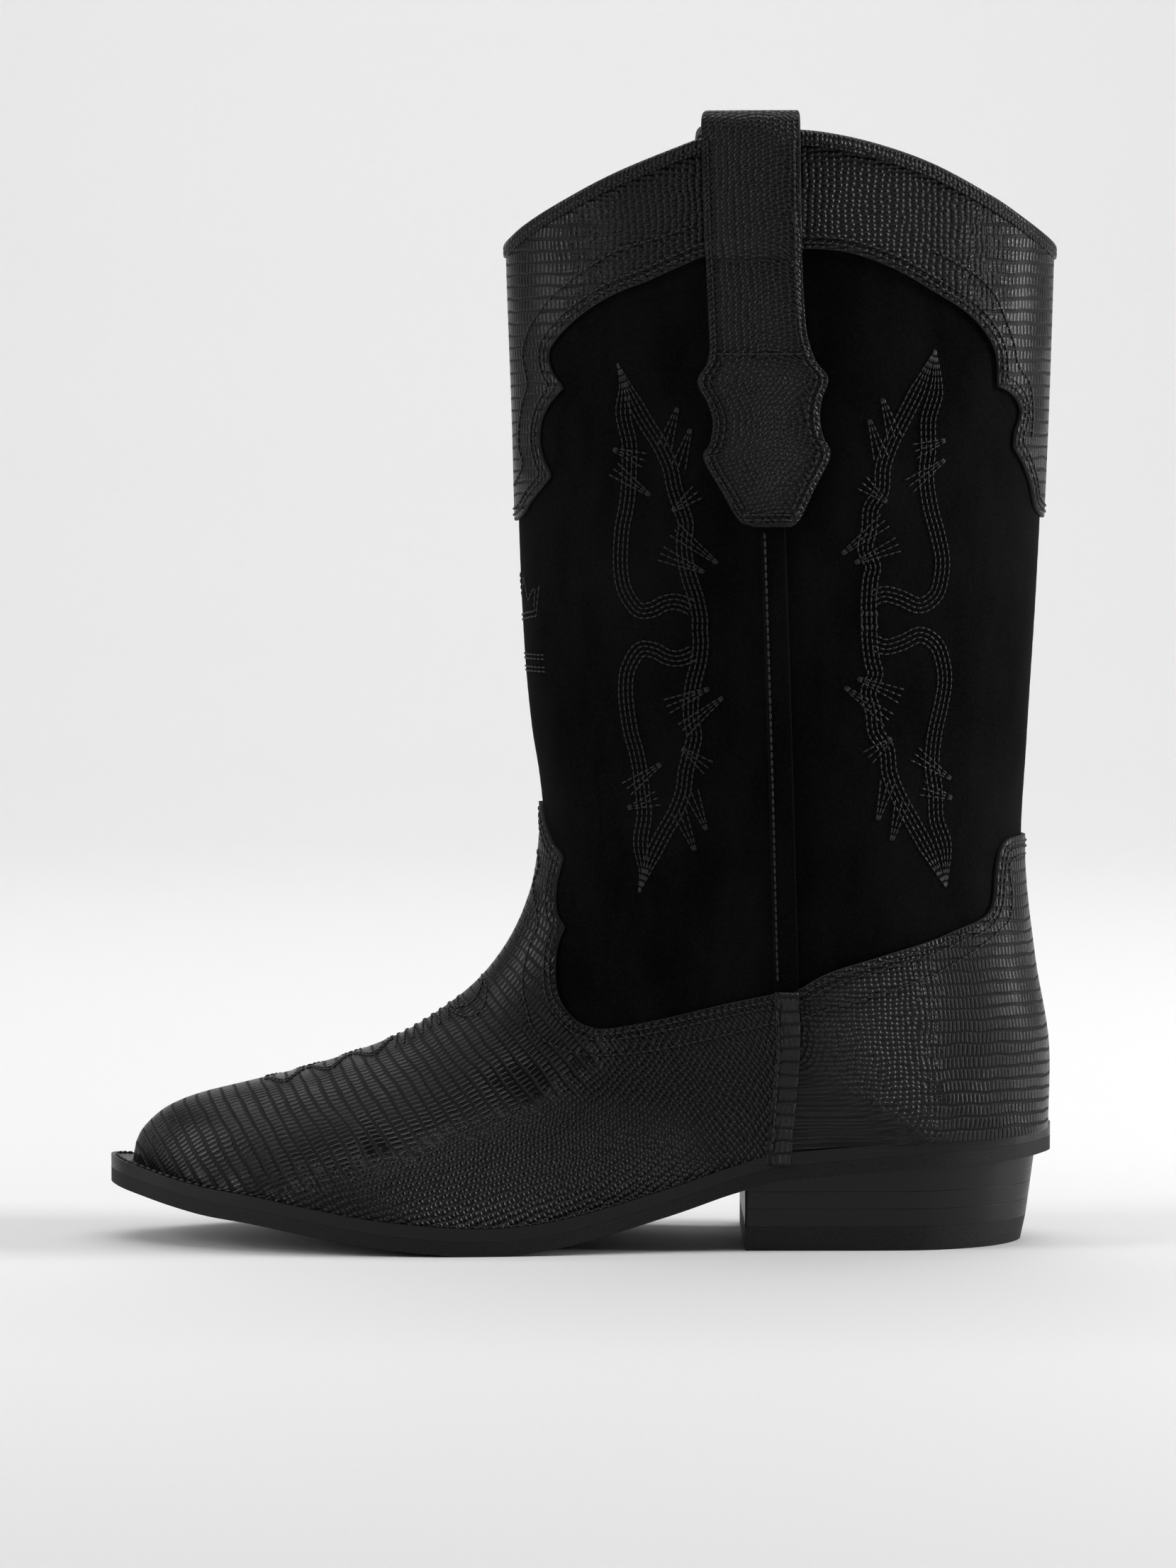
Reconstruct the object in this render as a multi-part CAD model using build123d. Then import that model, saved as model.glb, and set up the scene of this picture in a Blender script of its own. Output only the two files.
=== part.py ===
"""Women's western (cowboy) boot, left foot, built as separate sewn, lasted and stacked pieces.

Millimetres, +Z up.  The toe points to -X, the heel to +X, the outer (lateral) side of the leg
to -Y.  The floor is z = 0.  Every leather layer is the space between two copies of one foot and
leg form, each copy pushed out or in by a thickness, so the layers lie on each other.
"""
from build123d import *
import math
import os

# ---- overall sizes -------------------------------------------------------------------------
SOLE_LENGTH = 275.0        # toe tip to heel lip of the sole
SHAFT_HEIGHT = 320.5       # floor to the highest point of the topline
BALL_WIDTH = 82.0          # widest part of the sole

# ---- material thicknesses ------------------------------------------------------------------
OUTER = 1.3                # embossed calf leather of vamp, counter and collars
SUEDE = 1.4                # shaft suede, also the stiffeners that lie in the same layer
LINING = 1.0               # pigskin and textile lining
STRAP = 2.6                # doubled leather of the pull straps
BINDING = 0.7              # leather folded over the topline
MARGIN = 1.2               # lasted edge turned in under the insole
INSOLE = 2.2               # insole board
SOCK = 1.2                 # sock liner
MIDSOLE = 3.8              # stitched welt and midsole layer
OUTSOLE = 4.2              # rubber outsole

# ---- features ------------------------------------------------------------------------------
SEAM_LAP = 5.5             # overlap of the side seam
SEAM_FOLD = 7.0            # width of the raised fold on the side seam
BINDING_DEPTH = 4.5        # height of the rolled band at the topline
STRAP_WIDTH = 26.5         # pull strap
STRAP_RISE = 5.2           # top of the strap above the topline
TOP_LIFT = 7.0             # rubber heel tip
LIFT = 5.15                # one stacked heel lift
NAIL = 1.0                 # heel nail radius
SHANK_WIDTH = 13.0         # steel shank

KX = SOLE_LENGTH / 275.0
KY = BALL_WIDTH / 82.0
KZ = SHAFT_HEIGHT / 320.5
RING = 12                  # spans on each half of a section

# Sections of the form from toe to top.  front x, front z, base x, base z, ridge y,
# outer half width, inner half width, share of the length below the widest point,
# fullness below, fullness above, lean of the section towards the toe tip (degrees)
SECTIONS = [
    (-129.9, 21.4, -129.9, 8.5, 4.4, 1.2, 1.2, 0.50, 2.2, 2.2, 85),
    (-128.7, 27.8, -128.7, 7.5, 4.4, 4.6, 4.6, 0.46, 2.4, 2.2, 75),
    (-126.2, 31.8, -126.2, 6.0, 4.2, 8.4, 8.4, 0.42, 2.6, 2.2, 60),
    (-120.4, 36.7, -120.0, 3.0, 3.7, 14.4, 14.4, 0.38, 2.8, 2.2, 40),
    (-111.4, 40.5, -109.6, -1.0, 2.7, 21.6, 21.4, 0.34, 3.0, 2.2, 28),
    (-97.6, 44.0, -91.8, -5.0, 1.8, 30.0, 29.6, 0.31, 3.0, 2.1, 15),
    (-81.6, 48.0, -69.9, -8.0, 1.2, 36.6, 35.2, 0.29, 3.0, 2.0, 5),
    (-65.5, 53.1, -46.2, -11.0, 0.6, 39.6, 36.2, 0.28, 3.0, 1.95, 0),
    (-51.3, 58.9, -22.6, -12.0, 0.2, 38.9, 33.2, 0.28, 3.0, 1.9, 0),
    (-39.7, 66.0, 1.2, -8.0, 0.0, 36.1, 28.8, 0.28, 3.0, 1.9, 0),
    (-30.2, 73.5, 29.2, -1.0, 0.0, 31.4, 25.8, 0.29, 3.0, 1.9, 0),
    (-23.1, 81.6, 61.1, 7.0, 0.0, 29.9, 27.8, 0.30, 3.0, 1.9, 0),
    (-17.5, 90.8, 99.0, 11.7, 0.0, 30.0, 29.6, 0.33, 3.0, 1.9, 0),
    (-13.4, 101.2, 129.8, 13.8, 0.0, 30.9, 30.9, 0.38, 2.6, 1.95, 0),
    (-12.1, 107.0, 135.0, 24.5, 0.0, 31.4, 31.4, 0.41, 2.4, 2.0, 0),
    (-11.2, 112.9, 135.8, 36.7, 0.0, 31.9, 31.9, 0.44, 2.2, 2.0, 0),
    (-10.6, 123.5, 135.8, 58.6, 0.0, 33.3, 33.3, 0.47, 2.1, 2.0, 0),
    (-11.8, 136.0, 131.8, 82.3, 0.0, 34.9, 34.9, 0.48, 2.1, 2.0, 0),
    (-14.0, 150.0, 128.6, 112.0, 0.0, 37.0, 37.0, 0.48, 2.1, 2.0, 0),
    (-15.9, 170.0, 130.0, 145.0, 0.0, 38.6, 38.6, 0.48, 2.1, 2.0, 0),
    (-17.4, 200.0, 132.6, 190.0, 0.0, 39.9, 39.9, 0.48, 2.1, 2.0, 0),
    (-18.5, 240.0, 134.6, 236.0, 0.0, 40.4, 40.4, 0.48, 2.1, 2.0, 0),
    (-20.1, 285.0, 136.0, 284.0, 0.0, 40.7, 40.7, 0.48, 2.1, 2.0, 0),
    (-21.2, 336.0, 137.2, 336.0, 0.0, 41.0, 41.0, 0.48, 2.1, 2.0, 0),
]
STRETCH = 6                # spans lofted together; neighbouring stretches share a section

# ---- side outlines (x, z) ------------------------------------------------------------------
SOLE_TOP = [(-139, 24.5), (-128, 21.8), (-110, 17.8), (-94, 15.9), (-76, 12.9), (-56, 9.9),
            (-28, 8.05), (-5.6, 10.2), (24.6, 18.3), (44.9, 25.0), (59.9, 28.6), (100, 31.9),
            (122, 33.0), (139, 34.2)]
TOPLINE = [(-24, 286.5), (-14, 295.1), (-2, 302.2), (10.5, 308.5), (26.6, 315.0), (38, 318.8),
           (54, 320.5), (68, 319.6), (83, 316.5), (99.3, 311.0), (116, 302.5), (126, 296.2),
           (141, 286.0)]
VAMP_EDGE = [(-40, 131.5), (-11.6, 130.9), (-9.9, 123.1), (-4.1, 112.0), (-5.7, 103.5),
             (-5.7, 95.0), (-3.7, 91.8), (-5.9, 86.0), (-6.5, 78.6), (-5.7, 72.8), (-3.6, 68.7),
             (-0.1, 65.3), (3.7, 63.8), (9.1, 63.5), (23.6, 66.4), (43.8, 71.5), (62.9, 75.9)]
COUNTER_EDGE = [(62.9, 75.9), (71.7, 80.8), (85.7, 85.3), (107.7, 92.8), (116.0, 96.2),
                (118.4, 100.5), (119.2, 109.3), (120.8, 115.8), (122.9, 118.0), (128.5, 118.7),
                (160, 118.7)]
COLLAR_FRONT_EDGE = [(-50, 208.4), (-17.2, 208.4), (-13.0, 215.6), (-7.4, 222.6),
                     (-9.6, 228.0), (-10.4, 233.6), (-8.6, 240.2), (-3.9, 247.7),
                     (-7.7, 253.6), (-8.0, 258.2), (-5.0, 263.4), (3.4, 269.9), (10.9, 274.8),
                     (20.1, 277.9), (29.0, 281.9), (38, 285.0), (54.0, 285.0)]
COLLAR_BACK_EDGE = [(54.0, 285.0), (60, 286.6), (72.4, 286.2), (81.4, 284.0), (90.6, 280.2),
                    (99.8, 274.9), (109.1, 269.6), (114.9, 264.3), (118.0, 258.9),
                    (118.7, 248.0), (124.6, 244.4), (125.5, 240.8), (123.6, 234.4),
                    (123.8, 230.3), (129.6, 218.9), (130.9, 211.5), (133.5, 209.6),
                    (170, 209.6)]
SIDE_SEAM = [(52.0, 345), (53.0, 320), (58.4, 206), (62.7, 78), (63.2, 57), (59.8, 28),
             (58.0, -20)]
PATCH = [(36.3, 290), (37.4, 262.5), (37.5, 256.7), (33.7, 249.1), (38.4, 240.7),
         (37.9, 234.4), (35.4, 228.1), (40.6, 218.2), (45.5, 209.6), (49.6, 208.2),
         (59.9, 208.2), (63.9, 213.4), (70.6, 228.6), (67.6, 238.0), (68.0, 242.5),
         (70.2, 250.5), (65.7, 256.7), (63.9, 263.9), (62.8, 290)]
# Lower edge of the suede, hidden under the vamp and counter
SUEDE_EDGE = [(-60, 122), (-13, 119), (-12, 100), (-14, 82), (-12, 64), (-4, 57.5), (10, 55.5),
              (32, 60), (57, 66.5), (72, 72), (100, 81), (112, 85.5), (122, 92), (127, 100),
              (129, 109), (160, 109)]

# ---- sole outline seen from above (x, y) ---------------------------------------------------
SOLE_TOE = (-137.5, 4.6)
SOLE_OUTER = [(-134.6, -4.4), (-128, -11.3), (-117.5, -19.3), (-96.6, -30.0), (-76, -36.8),
              (-56, -40.6), (-36, -41.9), (-5.6, -39.3), (14.5, -35.8), (31, -33.0),
              (47.5, -31.4), (79, -31.4), (106, -29.0), (126, -19.5), (135, -8.0)]
SOLE_HEEL = (137.5, 0.0)
SOLE_INNER = [(135, 8.0), (126, 19.5), (106, 29.0), (79, 30.6), (47.5, 27.9), (31, 27.2),
              (14.5, 28.6), (-5.6, 32.6), (-36, 38.3), (-56, 40.1), (-76, 38.8), (-96.6, 33.8),
              (-117.5, 25.6), (-128, 19.2), (-134.6, 13.0)]

# Space inside the turned-in edge of the upper, filled with cork
CORE = [(-114, 4), (-98, -11), (-76, -19), (-50, -23.5), (-20, -24), (14, -19), (47, -15.5),
        (80, -15.5), (104, -12), (117, 0), (104, 12), (80, 14.5), (47, 12), (14, 12), (-20, 18),
        (-50, 22.5), (-76, 21.5), (-98, 17)]

# ---- heel stack sections: height, back edge, half width ------------------------------------
HEEL_BREAST = 47.6
HEEL_SECTIONS = [(0.0, 128.9, 29.0), (7.0, 130.4, 29.4), (24.0, 132.7, 30.2), (42.0, 135.0, 30.9)]
HEEL_NAILS = [(72, -15), (72, 15), (97, -16), (97, 16), (113, 0)]

forms = {}


def scaled(points):
    """Outline points brought to the boot's length and height."""
    return [(x * KX, z * KZ) for x, z in points]


def section_points(row, grow):
    """One closed section of the form, grown outwards by a thickness, as two half rings."""
    fx, fz, bx, bz, ridge, outer, inner, share, low, high, lean = row
    fx, bx = fx * KX, bx * KX
    fz, bz = fz * KZ, bz * KZ
    push = grow * math.cos(math.radians(lean))
    shift = -grow * math.sin(math.radians(lean))
    length = math.hypot(fx - bx, fz - bz)
    ux, uz = (fx - bx) / length, (fz - bz) / length
    sx, sz = bx - ux * push + shift, bz - uz * push
    length += 2 * push
    halves = []
    for width in (-(outer * KY + push), inner * KY + push):
        curve = []
        for k in range(161):
            turn = math.pi * k / 160
            c, s = abs(math.cos(turn)), abs(math.sin(turn))
            if k <= 80:
                along = share * length * (1 - c ** (2 / low))
                across = width * s ** (2 / low)
            else:
                along = share * length + (1 - share) * length * c ** (2 / high)
                across = width * s ** (2 / high)
            curve.append((sx + ux * along, ridge * KY + across, sz + uz * along))
        halves.append(even_points(curve))
    return halves


def even_points(curve):
    """Points at equal steps of length along a fine curve."""
    run = [0.0]
    for p, q in zip(curve, curve[1:]):
        run.append(run[-1] + math.dist(p, q))
    points = []
    j = 0
    for k in range(RING + 1):
        target = run[-1] * k / RING
        while j < len(run) - 2 and run[j + 1] < target:
            j += 1
        part = (target - run[j]) / (run[j + 1] - run[j])
        points.append(tuple(a + (b - a) * part for a, b in zip(curve[j], curve[j + 1])))
    return points


def section_wire(row, grow):
    outer, inner = section_points(row, grow)
    steps = [k / RING for k in range(RING + 1)]
    first = Edge.make_spline([Vector(*p) for p in outer], parameters=steps)
    second = Edge.make_spline([Vector(*p) for p in reversed(inner)], parameters=steps)
    return Wire([first, second])


def station(rows):
    """Distance along the form of each section, halfway between its front and base lines."""
    run = [0.0]
    for p, q in zip(rows, rows[1:]):
        run.append(run[-1] + (math.dist(p[:2], q[:2]) + math.dist(p[2:4], q[2:4])) / 2)
    return run


def middle_row(rows, run, i):
    """Section halfway between section i and the next, on a smooth curve through all of them."""
    low, high = max(i - 1, 0), min(i + 2, len(rows) - 1)
    span = run[i + 1] - run[i]
    row = []
    for a, p, q, b in zip(rows[low], rows[i], rows[i + 1], rows[high]):
        leave = (q - a) / (run[i + 1] - run[low]) * span
        arrive = (b - p) / (run[high] - run[i]) * span
        row.append((p + q) / 2 + (leave - arrive) / 8)
    return tuple(row)


def dense_rows():
    """The sections with one more between each pair."""
    run = station(SECTIONS)
    rows = []
    for i in range(len(SECTIONS) - 1):
        rows += [SECTIONS[i], middle_row(SECTIONS, run, i)]
    return rows + [SECTIONS[-1]]


def form(grow):
    """Solid foot and leg form, grown outwards by a thickness."""
    key = round(grow, 3)
    if key not in forms:
        rows = dense_rows()
        skin = []
        for first in range(0, len(rows) - 1, STRETCH):
            wires = [section_wire(row, grow) for row in rows[first:first + STRETCH + 1]]
            faces = Solid.make_loft(wires, False).faces()
            skin += [face for face in faces if face.geom_type != GeomType.PLANE]
            ends = [face for face in faces if face.geom_type == GeomType.PLANE]
            if first == 0:
                skin.append(min(ends, key=lambda face: face.center().X))
            if first + STRETCH >= len(rows) - 1:
                skin.append(max(ends, key=lambda face: face.center().Z))
        forms[key] = Solid(Shell(skin))
    return forms[key]


def prism(points, reach=90.0):
    """A side outline pushed through the boot from one side to the other."""
    outline = [Vector(x, -reach, z) for x, z in points]
    face = Face(Wire.make_polygon(outline, close=True))
    return extrude(face, 2 * reach, dir=(0, 1, 0))


def curved_prism(points, closing, reach=90.0):
    """The same with a smooth curve on one side and straight lines on the others."""
    curve = Edge.make_spline([Vector(x, -reach, z) for x, z in points])
    corners = [points[-1]] + closing + [points[0]]
    lines = []
    for a, b in zip(corners, corners[1:]):
        lines.append(Edge.make_line(Vector(a[0], -reach, a[1]), Vector(b[0], -reach, b[1])))
    return extrude(Face(Wire([curve] + lines)), 2 * reach, dir=(0, 1, 0))


def above_sole(lift):
    """Everything above the top of the sole, raised by a distance."""
    points = [(x, z + lift) for x, z in scaled(SOLE_TOP)]
    return curved_prism(points, [(points[-1][0], 420 * KZ), (points[0][0], 420 * KZ)])


def sole_band(low, high):
    """The layer between two heights measured from the top of the sole."""
    curve = scaled(SOLE_TOP)
    bottom = [Vector(x, -90, z + low) for x, z in curve]
    top = [Vector(x, -90, z + high) for x, z in reversed(curve)]
    edges = [Edge.make_spline(bottom), Edge.make_line(bottom[-1], top[0])]
    edges += [Edge.make_spline(top), Edge.make_line(top[-1], bottom[0])]
    return extrude(Face(Wire(edges)), 180, dir=(0, 1, 0))


def below_topline(drop):
    """Everything below the topline, lowered by a distance."""
    points = [(x, z - drop) for x, z in scaled(TOPLINE)]
    return curved_prism(points, [(points[-1][0], -60), (-160 * KX, -60), (-160 * KX, points[0][1])])


def plan_prism(loop):
    """A smooth closed outline seen from above, as a tall prism."""
    points = [Vector(x * KX, y * KY, -60) for x, y in loop]
    outline = Wire([Edge.make_spline(points, periodic=True)])
    return extrude(Face(outline), 200, dir=(0, 0, 1))


def seam_line(back):
    """The side seam line moved towards the toe by a distance."""
    return [(x - back, z) for x, z in scaled(SIDE_SEAM)]


def ahead_of_seam(back):
    return prism(seam_line(back) + [(-200 * KX, -20 * KZ), (-200 * KX, 345 * KZ)])


def one(shape):
    """The largest solid of a boolean result."""
    return max(shape.solids(), key=lambda s: s.volume)


def grown_layer(inside, outside, zone):
    return (form(outside) & zone) - form(inside)


def build_linings(parts, zone):
    layer = grown_layer(-SUEDE - LINING, -SUEDE, zone)
    split = prism(scaled([(-60, 118), (-8, 112), (14, 84), (34, 62), (62, 56), (100, 74),
                          (160, 92), (160, 345), (-60, 345)]))
    legs = layer & split
    feet = layer - split
    front = ahead_of_seam(SEAM_LAP)
    waist = prism(scaled([(-200, -40), (48, -40), (48, 130), (-200, 130)]))
    parts["shaft_lining_front"] = one(legs & front)
    parts["shaft_lining_back"] = one(legs - front)
    parts["vamp_lining"] = one(feet & waist)
    parts["counter_lining"] = one(feet - waist)


def build_middle(parts, zone):
    layer = grown_layer(-SUEDE, 0, zone)
    suede = prism(scaled(SUEDE_EDGE + [(160, 345), (-60, 345)]))
    legs = layer & suede
    feet = layer - suede
    front = ahead_of_seam(SEAM_LAP)
    fold = fold_strip(0, OUTER, [(30, 208.2), (80, 208.2)], True)
    parts["shaft_front"] = one((legs & front) + fold)
    parts["shaft_back"] = one(legs - front)
    toe = prism(scaled([(-200, -40), (-92, -40), (-98, 90), (-200, 90)]))
    heel = prism(scaled([(56, -40), (200, -40), (200, 130), (70, 130)]))
    parts["toe_puff"] = one(feet & toe)
    parts["heel_stiffener"] = one(feet & heel)
    parts["vamp_backing"] = one(feet - toe - heel)


def fold_strip(inside, outside, limit, upper):
    """Raised fold that the front unit laps over the back unit, on both sides of the leg."""
    strip = ahead_of_seam(0) - ahead_of_seam(SEAM_FOLD)
    if upper:
        edge = scaled(VAMP_EDGE[-3:] + [(90, 83)])
        cell = prism(edge + list(reversed(scaled(limit))))
        return (form(outside) & strip & cell) - form(inside)
    edge = scaled([(30, 66.5)] + VAMP_EDGE[-2:] + [(90, 83)])
    cell = prism(edge + scaled([(90, -20), (30, -20)]))
    return (form(outside) & strip & cell & above_sole(0)) - form(inside)


def build_outer(parts, zone):
    layer = grown_layer(0, OUTER, zone)
    vamp = prism(scaled(VAMP_EDGE + [(64, 40), (64, -40), (-200, -40), (-200, 131.5)]))
    counter = prism(scaled(COUNTER_EDGE + [(160, -40), (40, -40), (40, 70)]))
    front = ahead_of_seam(SEAM_LAP)
    margin = (form(OUTER) & sole_band(0, MARGIN)) - plan_prism(CORE)
    vamp_body = (layer & vamp & front) + (margin & front)
    fold = fold_strip(OUTER, 2 * OUTER, [], False)
    parts["vamp"] = one(vamp_body + fold)
    parts["counter_cover"] = one((layer & counter - front) + (margin - front))
    collar_front = prism(scaled(COLLAR_FRONT_EDGE + [(54, 345), (-50, 345)]))
    collar_back = prism(scaled(COLLAR_BACK_EDGE + [(170, 345), (54, 345)]))
    parts["collar_front"] = one(layer & collar_front)
    parts["collar_back"] = one(layer & collar_back)


def build_binding(parts):
    wide = form(OUTER + BINDING) - form(-SUEDE - LINING - BINDING)
    core = (form(OUTER) & below_topline(BINDING)) - form(-SUEDE - LINING)
    band = (wide & below_topline(0)) - below_topline(BINDING_DEPTH) - core
    front = prism(scaled([(-60, 250), (53, 250), (53, 345), (-60, 345)]))
    parts["topline_binding_front"] = one(band & front)
    parts["topline_binding_back"] = one(band - front)


def strap_leg(inside, outside, outline):
    return (form(outside) & outline) - form(inside)


def build_straps(parts):
    """Loops of doubled leather over the topline at the side seams."""
    left, right = 48.6 * KX - STRAP_WIDTH / 2, 48.6 * KX + STRAP_WIDTH / 2
    top = SHAFT_HEIGHT + STRAP_RISE
    step = 284.5 * KZ
    outer_in = OUTER + BINDING
    inner_out = -SUEDE - LINING - BINDING
    patch = prism(scaled(PATCH)) & prism([(-50, 0), (170, 0), (170, step), (-50, step)])
    loop = [(left, step), (right, step), (right, top), (left, top - 2)]
    inside = [(left, 262 * KZ), (right, 262 * KZ), (right, top), (left, top - 2)]
    tail = [(left, 246 * KZ), (right, 246 * KZ), (right, 262 * KZ), (left, 262 * KZ)]
    crown = [(left, top - STRAP - 2), (right, top - STRAP), (right, top), (left, top - 2)]
    strap = strap_leg(0, STRAP, patch)
    strap += strap_leg(outer_in, outer_in + STRAP, prism(loop))
    strap += strap_leg(inner_out - STRAP, outer_in + STRAP, prism(crown))
    strap += strap_leg(inner_out - STRAP, inner_out, prism(inside))
    strap += strap_leg(-SUEDE - LINING - STRAP, -SUEDE - LINING, prism(tail))
    for name, side in (("pull_strap_outer", -1), ("pull_strap_inner", 1)):
        half = Pos(50 * KX, side * 60 * KY, 250 * KZ) * Box(200 * KX, 120 * KY, 300 * KZ)
        parts[name] = one(strap & half)


def build_inside(parts):
    inner = form(-SUEDE - LINING)
    shank_top = prism(scaled([(-30, -40), (98, -40), (98, 80), (-30, 80)]), SHANK_WIDTH / 2)
    cavity = plan_prism(CORE) & sole_band(0, MARGIN)
    shank = cavity & shank_top
    parts["shank"] = one(shank)
    parts["bottom_filler"] = one(cavity - shank)
    parts["insole"] = one(inner & sole_band(MARGIN, MARGIN + INSOLE))
    parts["sock_liner"] = one(inner & sole_band(MARGIN + INSOLE, MARGIN + INSOLE + SOCK))


def heel_wire(height, back, half):
    """D-shaped outline of the heel stack at one height."""
    front = HEEL_BREAST * KX
    turn = 84 * KX
    back = back * KX
    half = half * KY
    low = Vector(front, -half, height)
    high = Vector(front, half, height)
    corner = Vector(turn, -half, height)
    other = Vector(turn, half, height)
    tip = Vector(back, 0, height)
    shoulder = Vector(turn + (back - turn) * 0.72, -half * 0.73, height)
    mirrored = Vector(turn + (back - turn) * 0.72, half * 0.73, height)
    outer = Edge.make_spline([corner, shoulder, tip], tangents=[(1, 0, 0), (0, 1, 0)])
    inner = Edge.make_spline([tip, mirrored, other], tangents=[(0, 1, 0), (-1, 0, 0)])
    sides = [Edge.make_line(low, corner), Edge.make_line(other, high), Edge.make_line(high, low)]
    return Wire([sides[0], outer, inner, sides[1], sides[2]])


def build_sole(parts):
    thick = MIDSOLE + OUTSOLE
    plan = plan_prism([SOLE_TOE] + SOLE_OUTER + [SOLE_HEEL] + SOLE_INNER)
    parts["midsole"] = one(plan & sole_band(-MIDSOLE, 0))
    parts["outsole"] = one(plan & sole_band(-thick, -MIDSOLE))
    wires = [heel_wire(z * KZ, back, half) for z, back, half in HEEL_SECTIONS]
    stack = Solid.make_loft(wires, True) - above_sole(-thick)
    levels = [0, TOP_LIFT, TOP_LIFT + LIFT, TOP_LIFT + 2 * LIFT, 60 * KZ]
    names = ["top_lift", "heel_lift_lower", "heel_lift_upper", "heel_wedge"]
    for name, low, high in zip(names, levels, levels[1:]):
        slab = prism([(0, low), (170 * KX, low), (170 * KX, high), (0, high)])
        parts[name] = one(stack & slab)


def drive_nails(parts):
    """Heel nails from the insole down into the lowest lift."""
    nails = []
    for x, y in HEEL_NAILS:
        top = sole_height(x) + MARGIN + INSOLE - 0.6
        low = TOP_LIFT + LIFT * 0.4
        nail = Pos(x * KX, y * KY, (top + low) / 2) * Cylinder(NAIL, top - low)
        nails.append(nail)
    group = Compound(children=nails)
    for name in ("insole", "bottom_filler", "midsole", "outsole", "heel_wedge",
                 "heel_lift_upper", "heel_lift_lower"):
        shape = parts[name]
        for nail in nails:
            shape = shape - nail
        parts[name] = one(shape)
    parts["heel_nails"] = group


def sole_height(x):
    """Height of the sole's top at a place along it."""
    for a, b in zip(SOLE_TOP, SOLE_TOP[1:]):
        if a[0] <= x <= b[0]:
            return KZ * (a[1] + (b[1] - a[1]) * (x - a[0]) / (b[0] - a[0]))
    return 0.0


def build():
    parts = {}
    covered = below_topline(BINDING)
    build_outer(parts, above_sole(0) & covered)
    resting = above_sole(MARGIN) & covered
    build_middle(parts, resting)
    build_linings(parts, resting)
    build_binding(parts)
    build_straps(parts)
    build_inside(parts)
    build_sole(parts)
    drive_nails(parts)
    return parts


os.makedirs("parts", exist_ok=True)
for name, shape in build().items():
    export_step(shape, f"parts/{name}.step")
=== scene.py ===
"""Visual model of a left western boot: embossed calf, suede, thread, rubber and stacked heel."""
import math

import bmesh
import bpy
import numpy as np
from mathutils import Matrix, Vector
from mathutils.geometry import delaunay_2d_cdt


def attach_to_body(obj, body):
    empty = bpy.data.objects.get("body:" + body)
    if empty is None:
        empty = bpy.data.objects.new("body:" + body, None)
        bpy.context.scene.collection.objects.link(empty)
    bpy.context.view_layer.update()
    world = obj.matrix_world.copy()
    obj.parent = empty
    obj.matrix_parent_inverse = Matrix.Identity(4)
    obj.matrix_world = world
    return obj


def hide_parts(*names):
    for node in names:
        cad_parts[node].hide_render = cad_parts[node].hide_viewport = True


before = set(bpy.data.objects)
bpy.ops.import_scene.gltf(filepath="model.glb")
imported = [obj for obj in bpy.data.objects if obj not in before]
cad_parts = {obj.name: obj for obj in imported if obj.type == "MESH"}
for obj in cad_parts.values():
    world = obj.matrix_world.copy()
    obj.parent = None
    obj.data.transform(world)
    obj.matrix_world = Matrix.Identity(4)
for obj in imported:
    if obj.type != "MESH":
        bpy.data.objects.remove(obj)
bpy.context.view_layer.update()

MM = 0.001
BODY = "root"

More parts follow.
